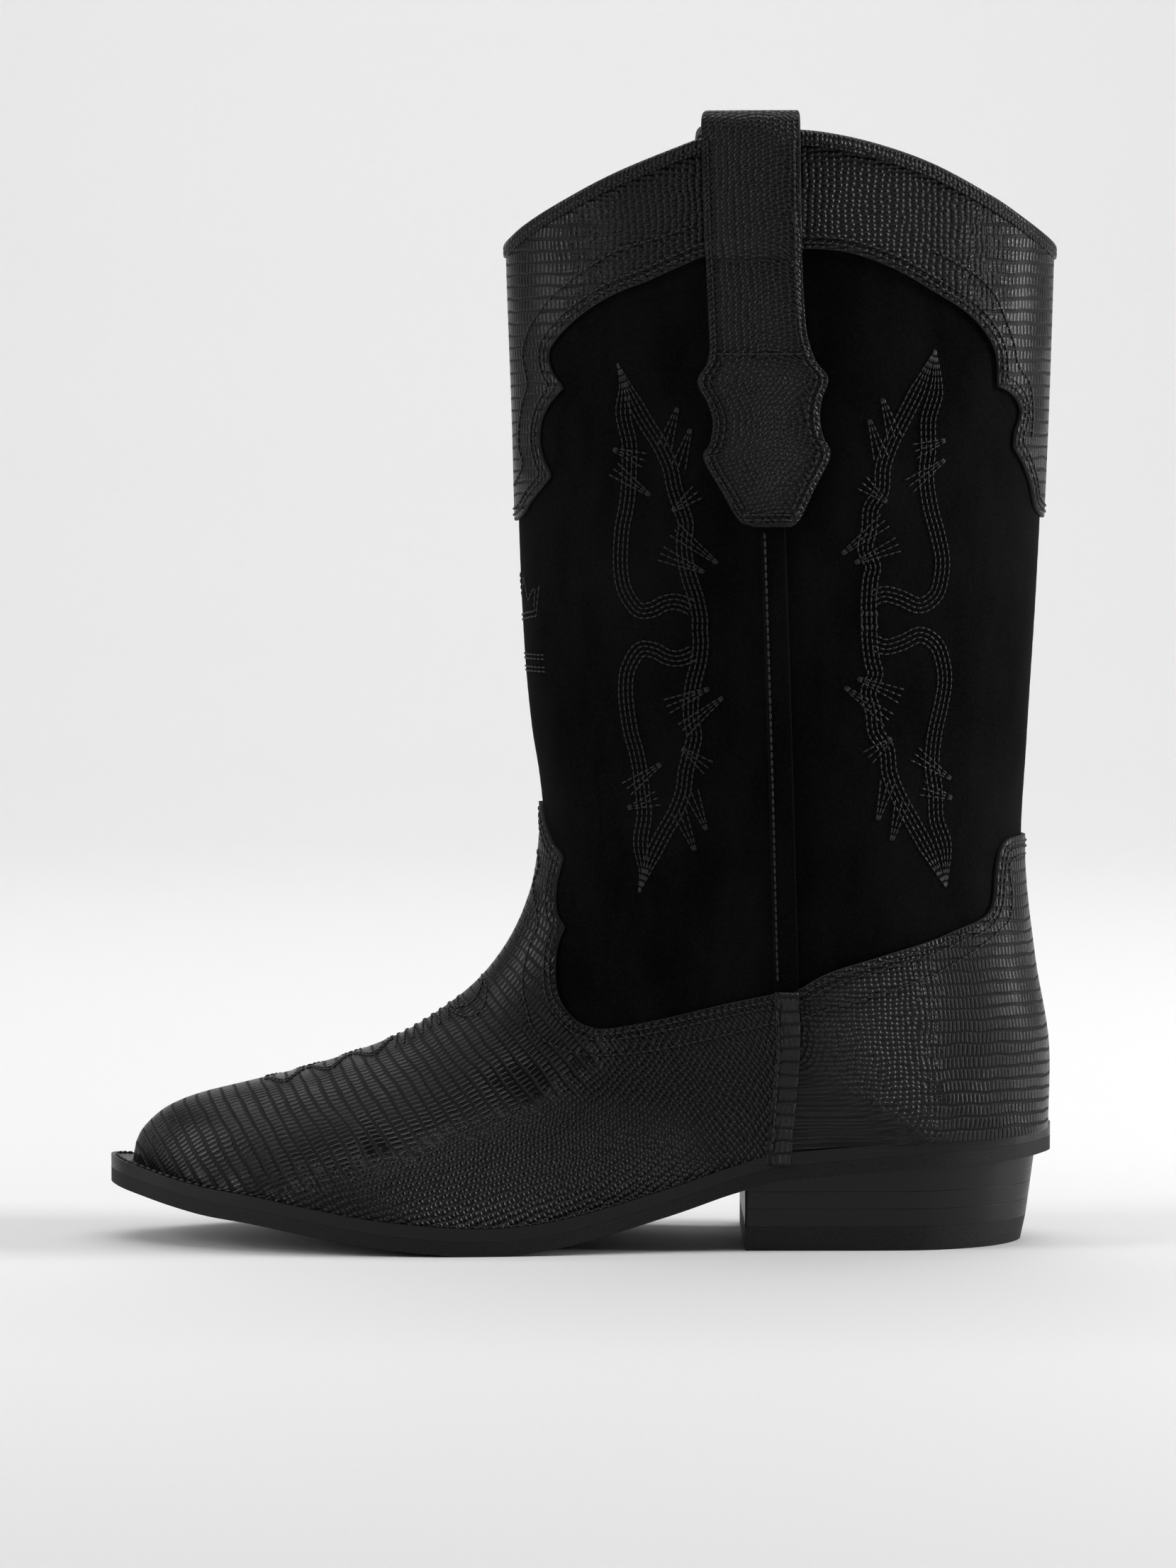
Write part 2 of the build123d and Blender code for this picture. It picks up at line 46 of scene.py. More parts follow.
# ---- the boot's form, in millimetres: toe at -X, outer side of the leg at -Y ------------------
# front x, front z, base x, base z, ridge y, outer half width, inner half width,
# share of the length below the widest point, fullness below, fullness above, lean (degrees)
SECTIONS = np.array([
    (-129.9, 21.4, -129.9, 8.5, 4.4, 1.2, 1.2, 0.50, 2.2, 2.2, 85),
    (-128.7, 27.8, -128.7, 7.5, 4.4, 4.6, 4.6, 0.46, 2.4, 2.2, 75),
    (-126.2, 31.8, -126.2, 6.0, 4.2, 8.4, 8.4, 0.42, 2.6, 2.2, 60),
    (-120.4, 36.7, -120.0, 3.0, 3.7, 14.4, 14.4, 0.38, 2.8, 2.2, 40),
    (-111.4, 40.5, -109.6, -1.0, 2.7, 21.6, 21.4, 0.34, 3.0, 2.2, 28),
    (-97.6, 44.0, -91.8, -5.0, 1.8, 30.0, 29.6, 0.31, 3.0, 2.1, 15),
    (-81.6, 48.0, -69.9, -8.0, 1.2, 36.6, 35.2, 0.29, 3.0, 2.0, 5),
    (-65.5, 53.1, -46.2, -11.0, 0.6, 39.6, 36.2, 0.28, 3.0, 1.95, 0),
    (-51.3, 58.9, -22.6, -12.0, 0.2, 38.9, 33.2, 0.28, 3.0, 1.9, 0),
    (-39.7, 66.0, 1.2, -8.0, 0.0, 36.1, 28.8, 0.28, 3.0, 1.9, 0),
    (-30.2, 73.5, 29.2, -1.0, 0.0, 31.4, 25.8, 0.29, 3.0, 1.9, 0),
    (-23.1, 81.6, 61.1, 7.0, 0.0, 29.9, 27.8, 0.30, 3.0, 1.9, 0),
    (-17.5, 90.8, 99.0, 11.7, 0.0, 30.0, 29.6, 0.33, 3.0, 1.9, 0),
    (-13.4, 101.2, 129.8, 13.8, 0.0, 30.9, 30.9, 0.38, 2.6, 1.95, 0),
    (-12.1, 107.0, 135.0, 24.5, 0.0, 31.4, 31.4, 0.41, 2.4, 2.0, 0),
    (-11.2, 112.9, 135.8, 36.7, 0.0, 31.9, 31.9, 0.44, 2.2, 2.0, 0),
    (-10.6, 123.5, 135.8, 58.6, 0.0, 33.3, 33.3, 0.47, 2.1, 2.0, 0),
    (-11.8, 136.0, 131.8, 82.3, 0.0, 34.9, 34.9, 0.48, 2.1, 2.0, 0),
    (-14.0, 150.0, 128.6, 112.0, 0.0, 37.0, 37.0, 0.48, 2.1, 2.0, 0),
    (-15.9, 170.0, 130.0, 145.0, 0.0, 38.6, 38.6, 0.48, 2.1, 2.0, 0),
    (-17.4, 200.0, 132.6, 190.0, 0.0, 39.9, 39.9, 0.48, 2.1, 2.0, 0),
    (-18.5, 240.0, 134.6, 236.0, 0.0, 40.4, 40.4, 0.48, 2.1, 2.0, 0),
    (-20.1, 285.0, 136.0, 284.0, 0.0, 40.7, 40.7, 0.48, 2.1, 2.0, 0),
    (-21.2, 336.0, 137.2, 336.0, 0.0, 41.0, 41.0, 0.48, 2.1, 2.0, 0),
])
STATIONS = len(SECTIONS) - 1

# ---- thicknesses (mm) ------------------------------------------------------------------------
OUTER = 1.3
SUEDE = 1.4
STRAP = 2.6
MIDSOLE = 3.8
OUTSOLE = 4.2
TOP_LIFT = 7.0
LIFT = 5.15

# ---- side outlines (x, z), each from the side seam towards the toe or the heel centre line ----
SOLE_TOP = [(-139, 24.5), (-128, 21.8), (-110, 17.8), (-94, 15.9), (-76, 12.9), (-56, 9.9),
            (-28, 8.05), (-5.6, 10.2), (24.6, 18.3), (44.9, 25.0), (59.9, 28.6), (100, 31.9),
            (122, 33.0), (139, 34.2)]
TOPLINE_FRONT = [(54, 320.5), (38, 318.8), (26.6, 315.0), (10.5, 308.5), (-2, 302.2),
                 (-14, 295.1), (-22, 288.4)]
TOPLINE_BACK = [(54, 320.5), (68, 319.6), (83, 316.5), (99.3, 311.0), (116, 302.5),
                (126, 296.2), (138, 288.2)]
# Runs between two cusps are smooth, so an outline is a list of runs
VAMP_EDGE = [[(62.9, 75.9), (43.8, 71.5), (23.6, 66.4), (9.1, 63.5), (3.7, 63.8), (-0.1, 65.3),
              (-3.6, 68.7), (-5.7, 72.8), (-6.5, 78.6), (-5.9, 86.0), (-3.7, 91.8)],
             [(-3.7, 91.8), (-5.7, 95.0), (-6.4, 99.6), (-5.9, 105.2), (-4.1, 112.0)],
             [(-4.1, 112.0), (-7.1, 115.6), (-9.6, 121.4), (-10.6, 126.5), (-12.4, 131.2)]]
COUNTER_EDGE = [[(62.9, 75.9), (71.7, 80.8), (85.7, 85.3), (99.9, 89.7), (107.7, 92.8),
                 (114.0, 95.2), (117.2, 97.6), (118.7, 101.5), (119.2, 107.5), (119.8, 112.5),
                 (121.0, 116.2), (124.0, 118.3), (130.5, 118.7)]]
COLLAR_FRONT_EDGE = [[(54.0, 285.0), (38, 285.0), (29.0, 281.9), (20.1, 277.9), (10.9, 274.4),
                      (3.6, 270.2), (-1.8, 266.0), (-6.0, 261.6), (-8.2, 257.6), (-7.2, 252.4),
                      (-3.9, 247.7)],
                     [(-3.9, 247.7), (-7.6, 243.6), (-10.0, 239.0), (-10.8, 233.6),
                      (-9.9, 228.0), (-7.4, 222.6)],
                     [(-7.4, 222.6), (-10.4, 218.8), (-13.4, 215.0), (-15.6, 211.4),
                      (-18.8, 208.4)]]
COLLAR_BACK_EDGE = [[(54.0, 285.0), (60, 286.6), (72.4, 286.2), (81.4, 284.0), (90.6, 280.2),
                     (99.8, 274.9), (109.1, 269.2), (114.9, 263.4), (118.2, 256.9),
                     (118.7, 248.0)],
                    [(118.7, 248.0), (122.0, 246.6), (124.6, 244.0), (125.6, 240.4),
                     (124.0, 235.4), (123.6, 230.8)],
                    [(123.6, 230.8), (126.6, 226.0), (129.0, 220.0), (130.6, 213.6),
                     (134.6, 209.4)]]
SEAM = [(53.0, 324), (58.4, 206), (61.2, 124), (62.7, 78), (63.2, 57), (59.8, 27.6)]
SUEDE_FRONT_EDGE = [[(58, 66), (32, 60), (10, 54), (-4, 57), (-12, 64), (-13, 82), (-12, 100),
                     (-14, 119)]]
SUEDE_BACK_EDGE = [[(58, 66), (72, 72), (100, 80), (112, 85), (122, 92), (128, 104), (134, 110)]]
PATCH_LEFT = [(49.6, 208.2), (45.5, 209.9), (40.6, 218.2), (35.6, 227.6), (37.3, 231.5),
              (38.2, 237.5), (36.8, 243.0), (33.9, 249.1), (36.4, 254.0), (37.3, 258.0),
              (37.1, 264.0), (36.2, 286), (35.3, 326)]
PATCH_RIGHT = [(59.9, 208.2), (62.4, 210.6), (66.2, 218.8), (70.6, 228.4), (68.7, 233.6),
               (67.7, 238.4), (68.2, 244.0), (70.0, 250.2), (66.8, 254.6), (64.9, 259.5),
               (63.7, 266.0), (62.6, 286), (61.8, 326)]

# ---- sole outline seen from above (x, y) ------------------------------------------------------
SOLE_OUTLINE = [(-137.5, 4.6), (-134.6, -4.4), (-128, -11.3), (-117.5, -19.3), (-96.6, -30.0),
                (-76, -36.8), (-56, -40.6), (-36, -41.9), (-5.6, -39.3), (14.5, -35.8),
                (31, -33.0), (47.5, -31.4), (79, -31.4), (106, -29.0), (126, -19.5),
                (135, -8.0), (137.5, 0.0), (135, 8.0), (126, 19.5), (106, 29.0), (79, 30.6),
                (47.5, 27.9), (31, 27.2), (14.5, 28.6), (-5.6, 32.6), (-36, 38.3),
                (-56, 40.1), (-76, 38.8), (-96.6, 33.8), (-117.5, 25.6), (-128, 19.2),
                (-134.6, 13.0)]
HEEL_BREAST = 47.6
HEEL_SECTIONS = [(0.0, 128.9, 29.0), (7.0, 130.4, 29.4), (24.0, 132.7, 30.2), (42.0, 135.0, 30.9)]


# ============================ curves and the form ==============================================
def smooth(points, step):
    """Evenly spaced points on a smooth curve through the given ones."""
    p = np.array(points, float)
    if len(p) < 3:
        fine = p
    else:
        ends = np.vstack([2 * p[0] - p[1], p, 2 * p[-1] - p[-2]])
        fine = []
        for a, b, c, d in zip(ends, ends[1:], ends[2:], ends[3:]):
            r = np.linspace(0, 1, 25)[:-1, None]
            fine.append(0.5 * (2 * b + (c - a) * r + (2 * a - 5 * b + 4 * c - d) * r ** 2
                               + (3 * b - a - 3 * c + d) * r ** 3))
        fine = np.vstack(fine + [p[-1:]])
    return spaced(fine, step)


def spaced(points, step):
    """The same polyline with even steps of about the given length."""
    run = np.r_[0, np.cumsum(np.linalg.norm(np.diff(points, axis=0), axis=1))]
    count = max(2, int(round(run[-1] / step)) + 1)
    at = np.linspace(0, run[-1], count)
    return np.stack([np.interp(at, run, points[:, k]) for k in range(points.shape[1])], 1)


def chain(runs, step):
    """One polyline from several smooth runs that meet at cusps."""
    parts = [smooth(run, step) for run in runs]
    return np.vstack([parts[0]] + [part[1:] for part in parts[1:]])


RUN = np.r_[0, np.cumsum((np.linalg.norm(np.diff(SECTIONS[:, :2], axis=0), axis=1)
                          + np.linalg.norm(np.diff(SECTIONS[:, 2:4], axis=0), axis=1)) / 2)]


def section_at(t):
    """Section data at station numbers t, on a smooth curve through the given sections."""
    t = np.clip(np.asarray(t, float), 0, STATIONS - 1e-9)
    i = t.astype(int)
    low, high = np.maximum(i - 1, 0), np.minimum(i + 2, STATIONS)
    r = (t - i)[..., None]
    span = (RUN[i + 1] - RUN[i])[..., None]
    p, q = SECTIONS[i], SECTIONS[i + 1]
    leave = (q - SECTIONS[low]) / (RUN[i + 1] - RUN[low])[..., None] * span
    arrive = (SECTIONS[high] - p) / (RUN[high] - RUN[i])[..., None] * span
    return ((2 * r ** 3 - 3 * r ** 2 + 1) * p + (r ** 3 - 2 * r ** 2 + r) * leave
            + (3 * r ** 2 - 2 * r ** 3) * q + (r ** 3 - r ** 2) * arrive)


def place(t, turn, grow=0.0):
    """Points on the form.  turn is 0 at the base or back line and pi on the front ridge, and is
    positive round the outer side and negative round the inner side."""
    t, turn, grow = np.broadcast_arrays(np.asarray(t, float), turn, grow)
    fx, fz, bx, bz, ridge, outer, inner, share, low, high, lean = np.moveaxis(section_at(t), -1, 0)
    push = grow * np.cos(np.radians(lean))
    shift = -grow * np.sin(np.radians(lean))
    length = np.hypot(fx - bx, fz - bz)
    ux, uz = (fx - bx) / length, (fz - bz) / length
    sx, sz = bx - ux * push + shift, bz - uz * push
    length = length + 2 * push
    c, s = np.abs(np.cos(turn)), np.abs(np.sin(turn))
    below = np.cos(turn) >= 0
    along = np.where(below, share * length * (1 - c ** (2 / low)),
                     share * length + (1 - share) * length * c ** (2 / high))
    full = s ** np.where(below, 2 / low, 2 / high)
    across = np.where(np.sin(turn) >= 0, -(outer + push), inner + push) * full
    return np.stack([sx + ux * along, ridge + across, sz + uz * along], -1)


FINE_T = np.linspace(0, STATIONS, 2301)
FINE = section_at(FINE_T)


def locate(x, z):
    """Station and turn of side-view points on the outer side of the form."""
    x, z = np.atleast_1d(x).astype(float), np.atleast_1d(z).astype(float)
    fx, fz, bx, bz = FINE[:, 0], FINE[:, 1], FINE[:, 2], FINE[:, 3]
    ux, uz = fx - bx, fz - bz
    side = (x[:, None] - bx) * uz - (z[:, None] - bz) * ux
    share = ((x[:, None] - bx) * ux + (z[:, None] - bz) * uz) / (ux ** 2 + uz ** 2)
    off = np.abs(side) / np.hypot(ux, uz) + 400 * np.maximum(np.abs(share - 0.5) - 0.56, 0)
    best = off.argmin(1)
    pick = np.arange(len(x))
    near = np.clip(best + np.where(side[pick, best] * side[pick, np.minimum(best + 1, 2300)] < 0,
                                   1, -1), 0, 2300)
    s0, s1 = side[pick, best], side[pick, near]
    part = np.where(s0 * s1 < 0, s0 / (s0 - s1 + 1e-12), 0.0)
    t = FINE_T[best] + (FINE_T[near] - FINE_T[best]) * part
    row = section_at(t)
    length = np.hypot(row[:, 0] - row[:, 2], row[:, 1] - row[:, 3])
    along = ((x - row[:, 2]) * (row[:, 0] - row[:, 2])
             + (z - row[:, 3]) * (row[:, 1] - row[:, 3])) / length ** 2
    along = np.clip(along, 0, 1)
    share, low, high = row[:, 7], row[:, 8], row[:, 9]
    c_low = np.clip(1 - along / share, 0, 1) ** (low / 2)
    c_high = np.clip((along - share) / (1 - share), 0, 1) ** (high / 2)
    turn = np.where(along < share, np.arccos(c_low), math.pi - np.arccos(c_high))
    return np.stack([t, turn], 1)


def across_ridge(points):
    """An outer-side line of (station, turn) that ends on the front ridge, with its mirror."""
    points = points.copy()
    points[-1, 1] = math.pi
    mirror = points[-2::-1].copy()
    mirror[:, 1] = 2 * math.pi - mirror[:, 1]
    return np.vstack([points, mirror])


def across_back(points):
    """An outer-side line of (station, turn) that ends on the back line, with its mirror."""
    points = points.copy()
    points[-1, 1] = 0.0
    mirror = points[-2::-1].copy()
    mirror[:, 1] = -mirror[:, 1]
    return np.vstack([points, mirror])


def sole_height(x):
    """Height of the top of the sole."""
    line = smooth(SOLE_TOP, 1.0)
    return np.interp(x, line[:, 0], line[:, 1])


# ============================ mesh helpers =====================================================
def grid_piece(name, points, uv, loop=False):
    """A mesh from a grid of points in mm, with a UV map in metres.  loop joins the first and the
    last row of the second direction."""
    rows, columns = points.shape[:2]
    bm = bmesh.new()
    bmesh.ops.create_grid(bm, x_segments=rows - 1, y_segments=columns - 1, size=0.5)
    layer = bm.loops.layers.uv.new("pattern")
    bm.verts.ensure_lookup_table()
    order = {}
    for vert in bm.verts:
        i = round((vert.co.x + 0.5) * (rows - 1))
        j = round((vert.co.y + 0.5) * (columns - 1))
        order[vert.index] = (i, j)
        vert.co = Vector(points[i, j]) * MM
    for face in bm.faces:
        for corner in face.loops:
            i, j = order[corner.vert.index]
            corner[layer].uv = (uv[i, j, 0] * MM, uv[i, j, 1] * MM)
    if loop:
        bmesh.ops.remove_doubles(bm, verts=bm.verts, dist=1e-6)
        ends = [edge for edge in bm.edges if edge.is_boundary]
        bmesh.ops.holes_fill(bm, edges=ends, sides=0)
        bmesh.ops.recalc_face_normals(bm, faces=bm.faces)
    return finish_mesh(name, bm)


def finish_mesh(name, bm):
    """A named object from a bmesh, shaded smooth."""
    mesh = bpy.data.meshes.new(name)
    bm.to_mesh(mesh)
    bm.free()
    piece = bpy.data.objects.new(name, mesh)
    bpy.context.scene.collection.objects.link(piece)
    mesh.shade_smooth()
    return piece


def leather_sheet(piece, thickness, edge=0.35):
    """Gives a surface its thickness inwards, with softly rounded cut edges."""
    wall = piece.modifiers.new("thickness", "SOLIDIFY")
    wall.thickness = thickness * MM
    wall.offset = -1
    wall.use_even_offset = False
    wall.material_offset_rim = 1
    soft = piece.modifiers.new("edge", "BEVEL")
    soft.width = edge * MM
    soft.segments = 2
    soft.limit_method = "ANGLE"
    soft.angle_limit = math.radians(50)
    return piece


def attach(piece, materials, replaced=()):
    """Gives a piece its materials and its body, and hides the CAD nodes it stands for."""
    for material in materials:
        piece.data.materials.append(material)
    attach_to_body(piece, BODY)
    if replaced:
        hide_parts(*replaced)
    return piece


# ============================ materials ========================================================
def linear(code):
    """sRGB hex colour as linear RGBA."""
    values = [int(code[k:k + 2], 16) / 255 for k in (1, 3, 5)]
    return tuple(v / 12.92 if v <= 0.04045 else ((v + 0.055) / 1.055) ** 2.4 for v in values) + (1,)


def add(tree, kind, settings=None, **links):
    """A node with its settings, and its inputs set or linked by name."""
    node = tree.nodes.new(kind)
    for key, value in (settings or {}).items():
        setattr(node, key, value)
    for key, value in links.items():
        slot = node.inputs[int(key[1:])] if key[0] == "i" and key[1:].isdigit() else \
            node.inputs[key.replace("_", " ")]
        if isinstance(value, bpy.types.NodeSocket):
            tree.links.new(value, slot)
        else:
            slot.default_value = value
    return node


def new_material(name):
    """An empty material with its tree, shader and output."""
    material = bpy.data.materials.new(name)
    material.use_nodes = True
    tree = material.node_tree
    tree.nodes.clear()
    shader = tree.nodes.new("ShaderNodeBsdfPrincipled")
    output = tree.nodes.new("ShaderNodeOutputMaterial")
    tree.links.new(shader.outputs[0], output.inputs[0])
    return material, tree, shader


def maths(tree, operation, a, b=0.0, c=0.0):
    return add(tree, "ShaderNodeMath", {"operation": operation}, i0=a, i1=b, i2=c).outputs[0]


def lizard_calf(name, row, rib, bead, flank, grey="#080808", coarse=0.75):
    """Calf leather embossed with a lizard plate and glazed: broad rows cut into narrow ribs on the
    middle of the skin, small beads on its flanks, glossy tops, and grooves darkened by painted
    shade.
    row, rib and bead are in millimetres; flank is (start, end) distance in mm from the pattern's
    middle line over which ribs give way to beads."""
    material, tree, shader = new_material(name)
    uv = add(tree, "ShaderNodeUVMap", {"uv_map": "pattern"}).outputs[0]
    wander = add(tree, "ShaderNodeTexNoise", {"noise_dimensions": "2D"}, Vector=uv,
                 Scale=70.0, Detail=2.0, Roughness=0.5)
    shift = add(tree, "ShaderNodeVectorMath", {"operation": "SUBTRACT"},
                i0=wander.outputs["Color"], i1=(0.5, 0.5, 0.5))
    drift = add(tree, "ShaderNodeVectorMath", {"operation": "SCALE"},
                i0=shift.outputs[0], Scale=0.0022)
    moved = add(tree, "ShaderNodeVectorMath", {"operation": "ADD"}, i0=uv, i1=drift.outputs[0])
    split = add(tree, "ShaderNodeSeparateXYZ", i0=moved.outputs[0])
    u, v = split.outputs[0], split.outputs[1]
    # rows, with a groove between neighbours
    row_number = maths(tree, "MULTIPLY", v, 1000.0 / row)
    row_index = maths(tree, "FLOOR", row_number)
    row_part = maths(tree, "PINGPONG", row_number, 0.5)
    groove = add(tree, "ShaderNodeMapRange", {"interpolation_type": "SMOOTHSTEP"}, Value=row_part,
                 From_Min=0.02, From_Max=0.2)
    # ribs, stepped along by a random part of a rib in each row
    chance = add(tree, "ShaderNodeTexWhiteNoise", {"noise_dimensions": "1D"}, W=row_index)
    rib_number = maths(tree, "MULTIPLY_ADD", u, 1000.0 / rib, chance.outputs["Value"])
    rib_part = maths(tree, "PINGPONG", rib_number, 0.5)
    rib_shape = add(tree, "ShaderNodeMapRange", {"interpolation_type": "SMOOTHSTEP"},
                    Value=rib_part, From_Min=0.0, From_Max=0.32)
    softness = add(tree, "ShaderNodeTexNoise", {"noise_dimensions": "2D"}, Vector=uv, Scale=55.0,
                   Detail=1.0)
    depth = add(tree, "ShaderNodeMapRange", Value=softness.outputs["Fac"], From_Min=0.35,
                From_Max=0.65, To_Min=0.15, To_Max=coarse + 0.2)
    ribs = maths(tree, "MULTIPLY", maths(tree, "SUBTRACT", 1.0, rib_shape.outputs[0]),
                 depth.outputs[0])
    bands = maths(tree, "MULTIPLY", groove.outputs[0], maths(tree, "SUBTRACT", 1.0, ribs))
    # beads on the flank
    bead_map = add(tree, "ShaderNodeMapping", i0=moved.outputs[0],
                   Scale=(1000.0 / bead, 1000.0 / bead * 1.4, 1.0))
    cells = add(tree, "ShaderNodeTexVoronoi", {"voronoi_dimensions": "2D", "feature": "F1"},
                Vector=bead_map.outputs[0], Scale=1.0, Randomness=0.3)
    beads = add(tree, "ShaderNodeMapRange", {"interpolation_type": "SMOOTHSTEP"},
                Value=cells.outputs["Distance"], From_Min=0.62, From_Max=0.2)
    # where the flank begins
    distance = maths(tree, "ABSOLUTE", u)
    ragged = maths(tree, "MULTIPLY_ADD", softness.outputs["Fac"], 0.012, distance)
    side = add(tree, "ShaderNodeMapRange", {"interpolation_type": "SMOOTHSTEP"}, Value=ragged,
               From_Min=flank[0] * MM, From_Max=flank[1] * MM)
    height = add(tree, "ShaderNodeMix", {"data_type": "FLOAT"}, i0=side.outputs[0], i2=bands,
                 i3=beads.outputs[0]).outputs[0]
    pores = add(tree, "ShaderNodeTexNoise", {"noise_dimensions": "2D"}, Vector=uv, Scale=2600.0,
                Detail=2.0)
    relief = maths(tree, "MULTIPLY_ADD", pores.outputs["Fac"], 0.10, height)
    bump = add(tree, "ShaderNodeBump", Strength=1.0, Distance=0.0008, Height=relief)
    # painted shade: the grooves between ribs and beads get a darker colour than the tops, from the
    # same height that sinks them in the bump
    tone = add(tree, "ShaderNodeMix", {"data_type": "RGBA"}, i0=height, i6=linear("#010101"),
               i7=linear(grey))
    tree.links.new(tone.outputs[2], shader.inputs["Base Color"])
    rough = add(tree, "ShaderNodeMapRange", Value=height, From_Min=0.0, From_Max=1.0, To_Min=0.8,
                To_Max=0.24)
    tree.links.new(rough.outputs[0], shader.inputs["Roughness"])
    tree.links.new(bump.outputs[0], shader.inputs["Normal"])
    shader.inputs["IOR"].default_value = 1.5
    shader.inputs["Specular IOR Level"].default_value = 0.34
    shader.inputs["Coat Weight"].default_value = 0.04
    shader.inputs["Coat Roughness"].default_value = 0.28
    return material


def suede_material(name):
    """Black calf suede: a short brushed nap with soft lighter and darker strokes, no gloss."""
    material, tree, shader = new_material(name)
    place_ = add(tree, "ShaderNodeTexCoord").outputs["Object"]
    stroke = add(tree, "ShaderNodeMapping", i0=place_, Scale=(1.0, 1.0, 0.45))
    cloud = add(tree, "ShaderNodeTexNoise", Vector=stroke.outputs[0], Scale=38.0, Detail=3.0,
                Roughness=0.6)
    nap = add(tree, "ShaderNodeTexNoise", Vector=place_, Scale=1500.0, Detail=4.0, Roughness=0.75)
    mixed = maths(tree, "MULTIPLY_ADD", cloud.outputs["Fac"], 0.55,
                  maths(tree, "MULTIPLY", nap.outputs["Fac"], 0.6))
    tone = add(tree, "ShaderNodeValToRGB", Fac=mixed)
    tone.color_ramp.elements[0].position = 0.46
    tone.color_ramp.elements[0].color = linear("#010101")
    tone.color_ramp.elements[1].position = 0.72
    tone.color_ramp.elements[1].color = linear("#131314")
    tree.links.new(tone.outputs[0], shader.inputs["Base Color"])
    bump = add(tree, "ShaderNodeBump", Strength=0.7, Distance=0.0003, Height=nap.outputs["Fac"])
    tree.links.new(bump.outputs[0], shader.inputs["Normal"])
    shader.inputs["Roughness"].default_value = 0.95
    shader.inputs["Specular IOR Level"].default_value = 0.06
    shader.inputs["Sheen Weight"].default_value = 0.02
    shader.inputs["Sheen Roughness"].default_value = 0.45
    shader.inputs["Sheen Tint"].default_value = linear("#8a8a8c")
    return material


def plain_leather(name, colour, dark, rough, grain_mm, depth=0.5, specular=0.5):
    """Smooth dyed leather with a fine pebbled grain; its creases are coloured darker as painted
    shade, and its tone varies at random.
    """
    material, tree, shader = new_material(name)
    where = add(tree, "ShaderNodeTexCoord").outputs["Object"]
    cells = add(tree, "ShaderNodeTexVoronoi", {"feature": "DISTANCE_TO_EDGE"}, Vector=where,
                Scale=1000.0 / grain_mm, Randomness=0.9)
    creases = add(tree, "ShaderNodeMapRange", Value=cells.outputs["Distance"], From_Min=0.0,
                  From_Max=0.18)
    cloud = add(tree, "ShaderNodeTexNoise", Vector=where, Scale=60.0, Detail=3.0)
    painted_crease_shade_and_tone = maths(tree, "MULTIPLY", creases.outputs[0],
                  maths(tree, "MULTIPLY_ADD", cloud.outputs["Fac"], 0.5, 0.5))
    # painted shade: the creases of the grain get the darker colour, from the mask that sinks them
    # in the bump; the cloud varies the tone at random
    tone = add(tree, "ShaderNodeMix", {"data_type": "RGBA"}, i0=painted_crease_shade_and_tone, i6=linear(dark),
               i7=linear(colour))
    tree.links.new(tone.outputs[2], shader.inputs["Base Color"])
    bump = add(tree, "ShaderNodeBump", Strength=depth, Distance=0.00012,
               Height=creases.outputs[0])
    tree.links.new(bump.outputs[0], shader.inputs["Normal"])
    shader.inputs["Roughness"].default_value = rough
    shader.inputs["Specular IOR Level"].default_value = specular
    return material


def cut_edge(name):
    """Raw cut edge of black leather: fibrous, a little greyer than the face."""
    material, tree, shader = new_material(name)
    where = add(tree, "ShaderNodeTexCoord").outputs["Object"]
    fibre = add(tree, "ShaderNodeTexNoise", Vector=where, Scale=1800.0, Detail=4.0, Roughness=0.7)
    tone = add(tree, "ShaderNodeMix", {"data_type": "RGBA"}, i0=fibre.outputs["Fac"],
               i6=linear("#101011"), i7=linear("#3a3a3c"))
    tree.links.new(tone.outputs[2], shader.inputs["Base Color"])
    bump = add(tree, "ShaderNodeBump", Strength=0.8, Distance=0.0002,
               Height=fibre.outputs["Fac"])
    tree.links.new(bump.outputs[0], shader.inputs["Normal"])
    shader.inputs["Roughness"].default_value = 0.8
    return material


def waxed_thread(name, colour, rough=0.5):
    """Bonded polyester thread, waxed: twisted plies that catch small highlights."""
    material, tree, shader = new_material(name)
    where = add(tree, "ShaderNodeTexCoord").outputs["Object"]
    ply = add(tree, "ShaderNodeTexWave", {"bands_direction": "DIAGONAL"}, Vector=where,
              Scale=900.0, Distortion=1.5)
    tone = add(tree, "ShaderNodeMix", {"data_type": "RGBA"}, i0=ply.outputs["Fac"],
               i6=linear("#0a0a0a"), i7=linear(colour))
    tree.links.new(tone.outputs[2], shader.inputs["Base Color"])
    bump = add(tree, "ShaderNodeBump", Strength=0.5, Distance=0.0001, Height=ply.outputs["Fac"])
    tree.links.new(bump.outputs[0], shader.inputs["Normal"])
    shader.inputs["Roughness"].default_value = rough
    return material


